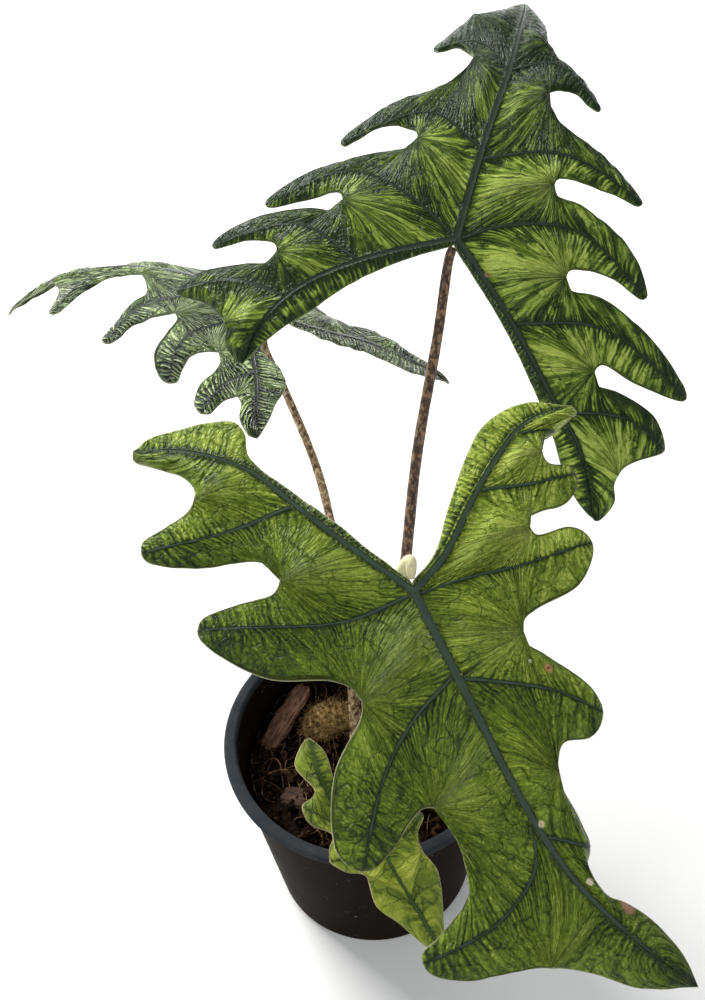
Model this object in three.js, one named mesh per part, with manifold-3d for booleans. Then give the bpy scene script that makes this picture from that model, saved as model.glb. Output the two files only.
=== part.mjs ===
// A potted aroid with four lobed, arrow-shaped leaves in a plain round nursery pot.
// Millimetres, +Z up. The origin is the centre of the pot's underside, and +Y points away from the viewer.
import * as THREE from 'three';
import { mergeVertices } from 'three/addons/utils/BufferGeometryUtils.js';
import Module from 'manifold-3d';

const wasm = await Module();
wasm.setup();

// Fit
const GAP = 0.3;

// Pot
const RIM_RADIUS = 65;
const LIP_WIDTH = 5.7;
const LIP_DEPTH = 3.6;
const POT_HEIGHT = 107;
const FOOT_RADIUS = 48.7;
const WALL = 1.5;
const FLOOR = 3.5;
const RECESS = 1.5;
const RECESS_FROM = 14;
const RECESS_TO = 41;
const DRAIN_HOLES = 6;
const DRAIN_RADIUS = 4;
const DRAIN_CIRCLE = 28;
const POT_SIDES = 44;
const HOLE_SIDES = 10;
const SOFT_EDGE = 0.8;

// Potting mix and what lies on it
const SOIL_LEVEL = 84;
const SOIL_BUMP = 1.8;
const CORM_RADIUS = 12;
const CORM_BOTTOM = 62;
const CORM_TOP = 94;
const SOCKET_FLOOR = 80;
const MIX_SIDES = 36;
const MIX_RINGS = 9;
const CORM_SIDES = 20;

// Leaf blades
const BLADE_THICKNESS = 0.9;
const PILLOW = 2.2;
const LOBE_CURL = 4;
const EDGE_DROOP = 1.6;
const LOBE_RIB = 0.8;
const INNER_EDGE = 0.4;
const COLUMNS_TO_SINUS = 2;
const COLUMNS_TO_TIP = 5;
const ROWS = [0, 0.14, 0.45, 0.75, 1];
const ROUNDNESS = 0.22;
const RIB_TAPER = 0.6;
const RIB_FADE = 0.12;
const RIB_THINNING = 0.75;
const RIB_BLEND = 3;
const FULL_RIB = 1.3;
const RIB_STEPS = 14;
const STRIP_STEPS = 12;
const CURL_FROM = 0.7;
const END_SPLIT = 0.55;

// Leaf stalks
const STALK_SIDES = 8;
const STALK_STEPS = 22;
const NOSE_LENGTH = 2.4;
const NOSE_BLUNT = 0.35;
const SHEATH_REACH = 0.3;

const radians = THREE.MathUtils.degToRad;

// Closed solids

function positionsOnly(geometry) {
  const bare = new THREE.BufferGeometry();
  bare.setAttribute('position', geometry.getAttribute('position'));
  if (geometry.index) bare.setIndex(geometry.index);
  return mergeVertices(bare, 1e-4);
}

function toSolid(geometry) {
  const merged = positionsOnly(geometry);
  const triVerts = Uint32Array.from(dropFlatTriangles(merged.index.array));
  const vertProperties = Float32Array.from(merged.getAttribute('position').array);
  if (signedVolume(vertProperties, triVerts) < 0) flip(triVerts);
  return new wasm.Manifold(new wasm.Mesh({ numProp: 3, vertProperties, triVerts }));
}

function dropFlatTriangles(index) {
  const kept = [];
  for (let i = 0; i < index.length; i += 3) {
    const [a, b, c] = index.slice(i, i + 3);
    if (a !== b && b !== c && c !== a) kept.push(a, b, c);
  }
  return kept;
}

function signedVolume(points, index) {
  const corner = [0, 1, 2].map(() => new THREE.Vector3());
  let volume = 0;
  for (let i = 0; i < index.length; i += 3) {
    corner.forEach((c, k) => c.fromArray(points, 3 * index[i + k]));
    volume += corner[0].dot(corner[1].clone().cross(corner[2])) / 6;
  }
  return volume;
}

function flip(index) {
  for (let i = 0; i < index.length; i += 3) {
    [index[i + 1], index[i + 2]] = [index[i + 2], index[i + 1]];
  }
}

function fromSolid(solid) {
  const mesh = solid.getMesh();
  const points = new Float32Array(3 * (mesh.vertProperties.length / mesh.numProp));
  for (let i = 0; i < points.length / 3; i += 1) {
    for (let k = 0; k < 3; k += 1) points[3 * i + k] = mesh.vertProperties[mesh.numProp * i + k];
  }
  const geometry = new THREE.BufferGeometry();
  geometry.setAttribute('position', new THREE.BufferAttribute(points, 3));
  geometry.setIndex(Array.from(mesh.triVerts));
  geometry.computeVertexNormals();
  return geometry;
}

function piece(name, geometry, color, roughness) {
  const material = new THREE.MeshStandardMaterial({ color, roughness, metalness: 0 });
  const mesh = new THREE.Mesh(geometry, material);
  mesh.name = name;
  return mesh;
}

// Lathe profiles are drawn as radius and height, and turned about the upright axis.
function lathe(profile, sides) {
  const geometry = new THREE.LatheGeometry(profile.map(([r, z]) => new THREE.Vector2(r, z)), sides);
  return geometry.rotateX(Math.PI / 2);
}

// Pot

const LIP_INNER = RIM_RADIUS - LIP_WIDTH;
const BODY_TOP_RADIUS = LIP_INNER + WALL;
const INNER_FLOOR_RADIUS = FOOT_RADIUS - WALL;

function innerRadius(z) {
  return INNER_FLOOR_RADIUS + (LIP_INNER - INNER_FLOOR_RADIUS) * (z - FLOOR) / (POT_HEIGHT - FLOOR);
}

function potGeometry() {
  const shell = toSolid(lathe([
    [0, 0],
    [RECESS_FROM, 0],
    [RECESS_FROM + 1, RECESS],
    [RECESS_TO - 1, RECESS],
    [RECESS_TO, 0],
    [FOOT_RADIUS - 1, 0],
    [FOOT_RADIUS, 1],
    [BODY_TOP_RADIUS, POT_HEIGHT - LIP_DEPTH],
    [RIM_RADIUS - SOFT_EDGE, POT_HEIGHT - LIP_DEPTH],
    [RIM_RADIUS, POT_HEIGHT - LIP_DEPTH + SOFT_EDGE],
    [RIM_RADIUS, POT_HEIGHT - 1],
    [RIM_RADIUS - 1, POT_HEIGHT],
    [LIP_INNER + SOFT_EDGE, POT_HEIGHT],
    [LIP_INNER, POT_HEIGHT - SOFT_EDGE],
    [INNER_FLOOR_RADIUS, FLOOR],
    [0, FLOOR],
  ], POT_SIDES));
  let drained = shell;
  for (let i = 0; i < DRAIN_HOLES; i += 1) {
    const turn = 2 * Math.PI * (i + 0.5) / DRAIN_HOLES;
    const hole = new THREE.CylinderGeometry(DRAIN_RADIUS, DRAIN_RADIUS, 3 * FLOOR, HOLE_SIDES);
    hole.rotateX(Math.PI / 2);
    hole.translate(DRAIN_CIRCLE * Math.cos(turn), DRAIN_CIRCLE * Math.sin(turn), FLOOR / 2);
    drained = drained.subtract(toSolid(hole));
  }
  return fromSolid(drained);
}

// Potting mix: a lathed plug with an uneven top, cut with a plain hole for each thing that stands in it

function soilHeight(x, y) {
  const broad = Math.sin(x / 9 + 1.3) * Math.cos(y / 8 - 0.4);
  const fine = 0.45 * Math.sin(x / 3.6 + y / 4.7) + 0.35 * Math.cos(x / 5.2 - y / 3.1);
  return SOIL_LEVEL + SOIL_BUMP * (broad + fine);
}

function soilGeometry(holes) {
  const bottom = FLOOR + GAP;
  const edge = SOIL_LEVEL - 2;
  const profile = [[0, bottom], [innerRadius(bottom) - GAP, bottom], [innerRadius(edge) - GAP, edge]];
  for (let i = MIX_RINGS - 1; i >= 0; i -= 1) {
    profile.push([(innerRadius(SOIL_LEVEL) - 1.5) * i / MIX_RINGS, SOIL_LEVEL]);
  }
  const plug = lathe(profile, MIX_SIDES);
  const place = plug.getAttribute('position');
  for (let i = 0; i < place.count; i += 1) {
    if (place.getZ(i) > edge + 1) place.setZ(i, soilHeight(place.getX(i), place.getY(i)));
  }
  return fromSolid(holes.reduce((solid, hole) => solid.subtract(hole), toSolid(plug)));
}

// A rounded lump: a sphere stretched to its half sizes, roughened by a formula and grown by a margin
function lumpGeometry({ at, half, turn, lean, rough }, grow = 0) {
  const geometry = new THREE.SphereGeometry(1, 12, 8);
  const place = geometry.getAttribute('position');
  const point = new THREE.Vector3();
  for (let i = 0; i < place.count; i += 1) {
    point.fromBufferAttribute(place, i);
    const swell = 1 + rough * Math.sin(5 * point.x + 2) * Math.cos(4 * point.y) * Math.sin(6 * point.z + 1);
    point.set(
      point.x * (half[0] * swell + grow),
      point.y * (half[1] * swell + grow),
      point.z * (half[2] * swell + grow),
    );
    place.setXYZ(i, point.x, point.y, point.z);
  }
  geometry.rotateY(radians(lean));
  geometry.rotateZ(radians(turn));
  return geometry.translate(...at);
}

// A split chip of bark: a long block with broken ends and a ridged top
function barkGeometry({ at, half, turn, lean }, grow = 0) {
  const geometry = new THREE.BoxGeometry(2, 2, 2, 8, 3, 1);
  const place = geometry.getAttribute('position');
  for (let i = 0; i < place.count; i += 1) {
    const [x, y, z] = [place.getX(i), place.getY(i), place.getZ(i)];
    const taper = 1 - 0.35 * x * x * (0.6 + 0.4 * Math.sin(3 * y + at[0]));
    const ridge = z > 0 ? 0.35 * Math.cos(4 * y + 2 * x) : 0;
    place.setXYZ(
      i,
      x * (half[0] + grow) * (1 - 0.08 * Math.sin(4 * y + at[1])),
      y * (half[1] * taper + grow),
      z * (half[2] + grow) + ridge * half[2] + 0.25 * half[2] * Math.sin(2 * x + 1),
    );
  }
  geometry.rotateY(radians(lean));
  geometry.rotateZ(radians(turn));
  return geometry.translate(...at);
}

const MOSS = { at: [-19, 22, 85], half: [14, 11, 6.5], turn: 30, lean: 0, rough: 0.12 };
const BARK_CHIPS = [
  { name: 'bark_long', at: [-38, 24, 88], half: [19, 5.5, 3], turn: 58, lean: -8 },
  { name: 'bark_flat', at: [-32, -19, 84.5], half: [9, 6, 2.6], turn: -20, lean: 4 },
  { name: 'bark_back', at: [16, 36, 85], half: [10, 6, 3], turn: 15, lean: -5 },
  { name: 'bark_right', at: [34, 2, 84.5], half: [8.5, 5.5, 2.8], turn: 75, lean: 5 },
];

// Leaf stalks: a round section carried along a curve, closed at both ends

function stalkGeometry({ path, base, neck, end }, grow = 0) {
  const curve = new THREE.CatmullRomCurve3(path.map((p) => new THREE.Vector3(...p)), false, 'centripetal');
  const length = curve.getLength();
  const points = [];
  const normal = new THREE.Vector3(1, 0, 0);
  for (const u of crowded(STALK_STEPS, 1.7)) {
    const tangent = curve.getTangentAt(u);
    normal.addScaledVector(tangent, -normal.dot(tangent)).normalize();
    const across = new THREE.Vector3().crossVectors(tangent, normal);
    const sheath = Math.max(0, 1 - u / SHEATH_REACH) ** 2;
    const nose = Math.min(1, (1 - u) * length / NOSE_LENGTH);
    const blunt = NOSE_BLUNT + (1 - NOSE_BLUNT) * Math.sqrt(1 - (1 - nose) ** 2);
    const radius = (neck + (end - neck) * u + (base - neck) * sheath) * blunt + grow;
    const centre = curve.getPointAt(u);
    if (grow > 0 && u === 0) centre.addScaledVector(tangent, -grow);
    for (let k = 0; k < STALK_SIDES; k += 1) {
      const turn = 2 * Math.PI * k / STALK_SIDES;
      const out = normal.clone().multiplyScalar(Math.cos(turn)).addScaledVector(across, Math.sin(turn));
      points.push(centre.clone().addScaledVector(out, radius));
    }
  }
  const index = [];
  const ring = (i, k) => i * STALK_SIDES + (k % STALK_SIDES);
  for (let i = 0; i < STALK_STEPS; i += 1) {
    for (let k = 0; k < STALK_SIDES; k += 1) {
      index.push(ring(i, k), ring(i, k + 1), ring(i + 1, k + 1));
      index.push(ring(i, k), ring(i + 1, k + 1), ring(i + 1, k));
    }
  }
  for (let k = 1; k < STALK_SIDES - 1; k += 1) {
    index.push(ring(0, 0), ring(0, k + 1), ring(0, k));
    index.push(ring(STALK_STEPS, 0), ring(STALK_STEPS, k), ring(STALK_STEPS, k + 1));
  }
  return closedGeometry(points, index);
}

function closedGeometry(points, index) {
  const flat = points.flatMap((p) => p.toArray());
  if (signedVolume(flat, index) < 0) flip(index);
  const geometry = new THREE.BufferGeometry();
  geometry.setAttribute('position', new THREE.Float32BufferAttribute(flat, 3));
  geometry.setIndex(index);
  geometry.computeVertexNormals();
  return geometry;
}

// Leaf outlines, flat and in millimetres, as [towards the tip, towards the leaf's left] from the stalk.
// Each lobe has its tip, the sinus before it, the margin's points before and after that sinus (from, to),
// and its vein, which starts at root (mm along the midrib, or along the arm) and passes through bend.
// An arm is the hind half of the blade: its vein runs from the stalk through bend to its tip, and inner
// is the width of blade inside it, as pairs of fraction of its length and millimetres. The margin is
// rounded by bay at each sinus and by blunt at each tip. A leaf hangs at a point, points to its heading
// (from +Y towards +X), rises by pitch, and leans by roll; bend is how far it turns down over 100 mm to
// each side, and fold is how far each half starts turned down. All of these are degrees.

const TOP_LEAF = {
  at: [45, 72, 317],
  heading: 24,
  pitch: 30,
  roll: 12,
  bend: { tip: 26, back: 18, left: 22, right: 22 },
  fold: { left: 0, right: 0 },
  rib: { width: 1.9, height: 1.3 },
  bay: 4,
  blunt: 1.6,
  midrib: [[0, 0], [39, 1], [88, 1], [150, 5], [158, 6]],
  left: {
    lobes: [
      { from: [[139, 13]], sinus: [121, 23], to: [[106, 30]], tip: [94, 33], root: 86, bend: [[99, 15]] },
      {
        from: [[97, 24]], sinus: [87, 16], to: [[72, 22], [55, 42]], tip: [33, 55], root: 41,
        bend: [[52, 24]],
      },
      {
        from: [[44, 40]], sinus: [38, 26], to: [[30, 38], [18, 62]], tip: [0, 77], root: 0,
        bend: [[14, 25], [18, 48]],
      },
      {
        from: [[4, 61]], sinus: [5, 46], to: [[0, 58], [-7, 80]], tip: [-21, 94], arm: 38,
        bend: [[-8, 60]],
      },
      {
        from: [[-17, 79]], sinus: [-21, 65], to: [[-27, 76], [-34, 96]], tip: [-43, 104], arm: 68,
        bend: [[-35, 80]],
      },
    ],
    arm: {
      from: [[-46, 89]], sinus: [-53, 77], to: [[-60, 75]], tip: [-66, 66],
      bend: [[-19, 35], [-35, 54], [-51, 63]],
    },
    inner: [[0.15, 1], [0.4, 4.5], [0.65, 8.5], [0.86, 4.5]],
  },
  right: {
    lobes: [
      {
        from: [[133, -6], [119, -9]], sinus: [107, -13], to: [[101, -24]], tip: [84, -38], root: 86,
        bend: [[98, -16]],
      },
      {
        from: [[87, -26]], sinus: [78, -17], to: [[66, -24], [58, -45]], tip: [44, -64], root: 36,
        bend: [[49, -29]],
      },
      {
        from: [[42, -48]], sinus: [34, -29], to: [[30, -42], [21, -64]], tip: [4, -75], root: 0,
        bend: [[10, -15], [18, -42]],
      },
      {
        from: [[6, -60]], sinus: [-2, -43], to: [[-4, -58], [-13, -84]], tip: [-29, -102], arm: 39,
        bend: [[-16, -62]],
      },
      {
        from: [[-31, -80]], sinus: [-33, -63], to: [[-37, -74], [-41, -91]], tip: [-52, -99], arm: 76,
        bend: [[-46, -80]],
      },
    ],
    arm: {
      from: [[-60, -89]], sinus: [-68, -83], to: [[-78, -85]], tip: [-87, -80],
      bend: [[-23, -26], [-47, -50], [-63, -66]],
    },
    inner: [[0.2, 0.5], [0.36, 1], [0.58, 3], [0.8, 7], [0.92, 4.5]],
  },
};

const FRONT_LEAF = {
  at: [17, -72, 287],
  heading: 157,
  pitch: -28,
  roll: 4,
  bend: { tip: 10, back: 10, left: 12, right: 12 },
  fold: { left: 0, right: 0 },
  rib: { width: 1.9, height: 1.3 },
  bay: 4,
  blunt: 3.2,
  midrib: [[0, 0], [38, 2], [66, 4], [94, 9], [121, 21], [142, 34]],
  left: {
    lobes: [
      {
        from: [[131, 33], [116, 27], [108, 21]], sinus: [102, 16], to: [[94, 16]], tip: [90, 19],
        root: 82, bend: [],
      },
      {
        from: [[81, 19]], sinus: [66, 18], to: [[59, 24], [61, 33]], tip: [56, 40], root: 30,
        bend: [[35, 13], [44, 28]],
      },
      {
        from: [[46, 39], [33, 30]], sinus: [24, 26], to: [[19, 34], [17, 51]], tip: [6, 62], root: 0,
        bend: [[2, 16], [5, 36]],
      },
      {
        from: [[-1, 57]], sinus: [-5, 43], to: [[-9, 49], [-9, 60]], tip: [-17, 68], arm: 41,
        bend: [[-18, 52]],
      },
      { from: [], sinus: [-27, 59], to: [], tip: [-33, 68], arm: 66, bend: [] },
    ],
    arm: {
      from: [], sinus: [-35, 75], to: [], tip: [-40, 79],
      bend: [[-7, 14], [-19, 28.5], [-30, 43.5], [-38, 58]],
    },
    inner: [[0.13, 0.3], [0.29, 2.8], [0.4, 4.4], [0.56, 7], [0.65, 8], [0.75, 6.6], [0.85, 4.5]],
  },
  right: {
    lobes: [
      {
        from: [[133, 16], [123, 5]], sinus: [115, -7], to: [[112, -18], [109, -31]], tip: [100, -40],
        root: 77, bend: [[88, 0], [97, -15]],
      },
      {
        from: [[95, -33], [86, -19], [71, -17]], sinus: [60, -21], to: [[61, -28], [66, -35]],
        tip: [69, -46], root: 28, bend: [[35, -16], [45, -29], [56, -38]],
      },
      {
        from: [[60, -51], [40, -43]], sinus: [24, -28], to: [[15, -33], [6, -51]], tip: [-16, -64],
        root: 0, bend: [[0, -24]],
      },
      {
        from: [[-18, -51]], sinus: [-19, -36], to: [[-28, -40], [-34, -57]], tip: [-46, -71], arm: 46,
        bend: [[-40, -46]],
      },
    ],
    arm: {
      from: [[-50, -62]], sinus: [-54, -50], to: [[-63, -50]], tip: [-80, -61],
      bend: [[-22, -13], [-38, -21.5], [-56, -31], [-68, -43]],
    },
    inner: [
      [0.15, 0.5], [0.3, 1.7], [0.45, 1.5], [0.6, 1.3], [0.655, 3.5],
      [0.69, 10], [0.73, 12.6], [0.79, 10.4], [0.87, 6.7], [0.95, 4.2],
    ],
  },
};

const SIDE_LEAF = {
  at: [-36, 126, 254],
  heading: -50,
  pitch: 11,
  roll: 34,
  bend: { tip: 38, back: 2, left: -10, right: -3 },
  fold: { left: 27, right: -3 },
  rib: { width: 1.6, height: 1.1 },
  bay: 3,
  blunt: 3,
  midrib: [[0, 0], [50, 0], [100, 0], [150, 0]],
  left: {
    lobes: [
      { from: [[128, 5]], sinus: [112, 8], to: [[102, 17]], tip: [87, 42], root: 78, bend: [[88, 18]] },
      {
        from: [[85, 24], [78, 9]], sinus: [60, 8], to: [[45, 16], [48, 28], [43, 46]], tip: [34, 62],
        root: 21, bend: [[28, 16], [38, 30], [38, 48]],
      },
      {
        from: [[33, 45]], sinus: [21, 32], to: [[15, 43], [9, 56]], tip: [-9, 65], root: 0,
        bend: [[2, 22], [6, 36], [2, 50]],
      },
      {
        from: [[-7, 55], [-4, 46]], sinus: [-11, 39], to: [[-17, 46], [-19, 58]], tip: [-30, 69],
        arm: 47, bend: [[-26, 52]],
      },
    ],
    arm: {
      from: [[-32, 61]], sinus: [-35, 55], to: [[-43, 61]], tip: [-54, 62],
      bend: [[-20, 27], [-31, 38], [-46, 55]],
    },
    inner: [[0.2, 1], [0.36, 3.5], [0.48, 10], [0.62, 11.5], [0.75, 7.5], [0.9, 4]],
  },
  right: {
    lobes: [
      { from: [[128, -6]], sinus: [106, -10], to: [], tip: [88, -30], root: 78, bend: [[88, -14]] },
      {
        from: [[80, -20]], sinus: [74, -10], to: [[60, -16], [50, -32]], tip: [36, -46], root: 24,
        bend: [[34, -20]],
      },
      {
        from: [[27, -36]], sinus: [24, -26], to: [[15, -34], [8, -44]], tip: [-4, -51], root: 0,
        bend: [[4, -20], [2, -36]],
      },
      {
        from: [[-12, -48]], sinus: [-17, -39], to: [[-22, -52]], tip: [-27, -66], arm: 50,
        bend: [[-32, -50]],
      },
    ],
    arm: {
      from: [[-35, -63]], sinus: [-42, -58], to: [[-58, -67]], tip: [-74, -65],
      bend: [[-12, -6], [-24, -19], [-39, -41], [-58, -52]],
    },
    inner: [[0.15, 1], [0.35, 6], [0.6, 9], [0.76, 11], [0.88, 5]],
  },
};

const YOUNG_LEAF = {
  at: [1, -67, 131],
  heading: 150,
  pitch: -25,
  roll: 0,
  bend: { tip: 20, back: 10, left: 20, right: 20 },
  fold: { left: 0, right: 0 },
  rib: { width: 0.9, height: 0.6 },
  bay: 1.5,
  blunt: 1.2,
  midrib: [[0, 0], [18, 0], [36, 1], [54, 2]],
  left: {
    lobes: [
      {
        from: [[40, 9], [28, 14.5], [22, 16]], sinus: [12, 14], to: [[6, 17]], tip: [1, 23], root: 0,
        bend: [[4, 11]],
      },
    ],
    arm: { from: [[-3, 18]], sinus: [-8, 14], to: [[-18, 19]], tip: [-31, 16], bend: [[-8, 8], [-20, 13]] },
    inner: [[0.3, 0.8], [0.6, 3], [0.85, 2.5]],
  },
  right: {
    lobes: [
      {
        from: [[41, -4], [31, -8], [22, -12.5]], sinus: [9.5, -11], to: [[5, -16]], tip: [-2, -19.5],
        root: 0, bend: [[2, -10]],
      },
      {
        from: [[-7, -17]], sinus: [-10, -14.5], to: [[-19, -19.5]], tip: [-26, -18.5], arm: 13,
        bend: [[-16, -13]],
      },
    ],
    arm: {
      from: [], sinus: [-28, -12], to: [[-35, -12.5], [-42, -13]], tip: [-49, -2],
      bend: [[-11, -7], [-30, -7.5]],
    },
    inner: [[0.3, 0.8], [0.6, 4], [0.85, 4]],
  },
};

// Flat drawing of a blade

function line(points) {
  const through = points.map(([s, t]) => new THREE.Vector3(s, t, 0));
  if (through.length === 2) through.splice(1, 0, through[0].clone().lerp(through[1], 0.5));
  const curve = new THREE.CatmullRomCurve3(through, false, 'centripetal');
  curve.arcLengthDivisions = 400;
  return curve;
}

// Fractions from 0 to 1 that draw closer together towards the end
function crowded(count, power = 1.35) {
  return Array.from({ length: count + 1 }, (_, i) => 1 - (1 - i / count) ** power);
}

// Fractions from 0 to 1 that draw closer together towards both ends
function crowdedBothEnds(count) {
  return evenly(count, 0, 1).map((f) => 0.35 * f + 0.65 * (1 - Math.cos(Math.PI * f)) / 2);
}

// Points beside a corner of the margin that make it round: side is the leaf's side, way is 1 at the
// bottom of a sinus and -1 at the tip of a lobe. A corner that bends the other way stays as it is.
function rounding(before, corner, after, radius, side, way) {
  const [a, c, b] = [before, corner, after].map(([x, y]) => new THREE.Vector2(x, y));
  if (side * way * b.clone().sub(a).cross(c.clone().sub(a)) <= 0) return [[], []];
  const reach = Math.min(radius, 0.4 * c.distanceTo(a), 0.4 * c.distanceTo(b));
  const opening = a.clone().sub(c).normalize().add(b.clone().sub(c).normalize());
  const across = new THREE.Vector2(-opening.y, opening.x).setLength(side * way * reach);
  return [-1, 1].map((step) => {
    const point = c.clone().addScaledVector(opening, ROUNDNESS * reach).addScaledVector(across, step);
    return [[point.x, point.y]];
  });
}

// The part of the margin between two of its own points, sampled at these fractions of its length
function marginPart(margin, first, last, fractions) {
  const dense = [];
  const steps = 24 * Math.abs(last - first);
  for (let i = 0; i <= steps; i += 1) {
    dense.push(margin.curve.getPoint((first + (last - first) * i / steps) / (margin.count - 1)));
  }
  const reach = [0];
  for (let i = 1; i <= steps; i += 1) reach.push(reach[i - 1] + dense[i].distanceTo(dense[i - 1]));
  return fractions.map((f) => {
    const wanted = f * reach[steps];
    let i = 1;
    while (i < steps && reach[i] < wanted) i += 1;
    const along = (wanted - reach[i - 1]) / (reach[i] - reach[i - 1]);
    return dense[i - 1].clone().lerp(dense[i], along);
  });
}

// A rib's half width tapers from its root to nothing at its tip
function ribHalfWidth(leaf, fraction) {
  return leaf.rib.width * (1 - RIB_TAPER * fraction) * Math.min(1, (1 - fraction) / RIB_FADE);
}

function besideRib(leaf, curve, fraction, side) {
  const tangent = curve.getTangentAt(fraction);
  const half = ribHalfWidth(leaf, fraction);
  const across = new THREE.Vector3(-tangent.y, tangent.x, 0);
  return curve.getPointAt(fraction).addScaledVector(across, side * half);
}

// The point where the edges of two ribs that leave the stalk meet
function ribCorner(leaf, first, second) {
  const a = first.getTangentAt(0);
  const b = second.getTangentAt(0);
  const halfAngle = a.angleTo(b) / 2;
  return a.clone().add(b).setLength(leaf.rib.width / Math.sin(halfAngle));
}

// A blade is gathered as flat points with a lift and a rib depth at each, and triangles between them.
class Sheet {
  constructor() {
    this.points = [];
    this.triangles = [];
    this.known = new Map();
  }

  add(point, lift = 0, rib = 0) {
    const key = `${Math.round(point.x * 1e3)},${Math.round(point.y * 1e3)}`;
    if (!this.known.has(key)) {
      this.known.set(key, this.points.length);
      this.points.push({ s: point.x, t: point.y, lift, rib });
    }
    const found = this.points[this.known.get(key)];
    found.rib = Math.max(found.rib, rib);
    return this.known.get(key);
  }

  turn([a, b, c]) {
    const [p, q, r] = [a, b, c].map((i) => this.points[i]);
    return (q.s - p.s) * (r.t - p.t) - (q.t - p.t) * (r.s - p.s);
  }

  // Keeps triangles that face up together, turned over all at once if most of them face down
  cover(triangles) {
    const whole = triangles.filter(([a, b, c]) => a !== b && b !== c && c !== a);
    const area = whole.reduce((sum, triangle) => sum + this.turn(triangle), 0);
    for (const [a, b, c] of whole) this.triangles.push(area < 0 ? [a, c, b] : [a, b, c]);
  }

  // A grid of columns, each a list of point numbers
  grid(columns) {
    const triangles = [];
    for (let i = 0; i + 1 < columns.length; i += 1) {
      for (let j = 0; j + 1 < columns[i].length; j += 1) {
        const [a, b, c, d] = [columns[i][j], columns[i + 1][j], columns[i + 1][j + 1], columns[i][j + 1]];
        triangles.push([a, b, c], [a, c, d]);
      }
    }
    this.cover(triangles);
  }

  // A band between two rows of points with the same ends, stitched where each is nearest along its length
  stitch(first, second) {
    const reach = (row) => {
      const sum = [0];
      for (let i = 1; i < row.length; i += 1) {
        const [p, q] = [this.points[row[i - 1]], this.points[row[i]]];
        sum.push(sum[i - 1] + Math.hypot(p.s - q.s, p.t - q.t));
      }
      return sum.map((value) => value / sum[row.length - 1]);
    };
    const [along, beside] = [reach(first), reach(second)];
    const triangles = [];
    let [i, j] = [0, 0];
    while (i < first.length - 1 || j < second.length - 1) {
      const stepFirst = j === second.length - 1 || (i < first.length - 1 && along[i + 1] <= beside[j + 1]);
      if (stepFirst) {
        triangles.push([first[i], first[i + 1], second[j]]);
        i += 1;
      } else {
        triangles.push([first[i], second[j + 1], second[j]]);
        j += 1;
      }
    }
    this.cover(triangles);
  }
}

// The path that a side's lobes grow from: down the midrib's edge from the tip, then out along the arm
function parentPath(leaf, midrib, arm, corner, side) {
  const down = midrib.getLength();
  const out = arm.getLength();
  const blend = RIB_BLEND * leaf.rib.width;
  const at = (q) => {
    const onMidrib = q < down;
    const distance = Math.abs(q - down);
    if (distance < 1e-6) return corner.clone();
    const curve = onMidrib ? midrib : arm;
    const fraction = distance / (onMidrib ? down : out);
    const point = besideRib(leaf, curve, Math.min(1, fraction), onMidrib ? side : -side);
    const start = besideRib(leaf, curve, 0, onMidrib ? side : -side);
    const weight = Math.max(0, 1 - distance / blend);
    return point.addScaledVector(corner.clone().sub(start), weight);
  };
  return { down, out, at };
}

function evenly(count, from, to) {
  return Array.from({ length: count + 1 }, (_, i) => from + (to - from) * i / count);
}

// Lift of the blade between its veins: it swells towards the middle, and each lobe curls down to its tip
function sinusLift(w) {
  return PILLOW * Math.sin(Math.PI * (0.15 + 0.7 * w)) * Math.min(1, 3 * w);
}

function lobeLift(v, u, reach) {
  const rise = v * v * (3 - 2 * v);
  if (u <= reach) return sinusLift(u / reach) * rise;
  const beyond = (u - reach) / (1 - reach);
  const fade = sinusLift(1) * rise * (1 - beyond) ** 2;
  return fade - EDGE_DROOP * v * v * Math.sin(Math.PI * beyond) - LOBE_CURL * beyond * beyond;
}

// Coons patch with a closed far end: bottom and top rows meet there, and left joins their starts
function patch(sheet, bottom, top, left, lift, rib) {
  const columns = bottom.map((low, i) => left.map((edge, j) => {
    const v = left.rows[j];
    const fraction = i / (bottom.length - 1);
    const point = low.clone().lerp(top[i], v);
    const straight = left[0].clone().lerp(left[left.length - 1], v);
    point.addScaledVector(edge.clone().sub(straight), 1 - fraction);
    if (i === bottom.length - 1) point.copy(low);
    return sheet.add(point, lift(fraction, v), v === 0 ? rib(fraction) : 0);
  }));
  sheet.grid(columns);
}

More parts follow.
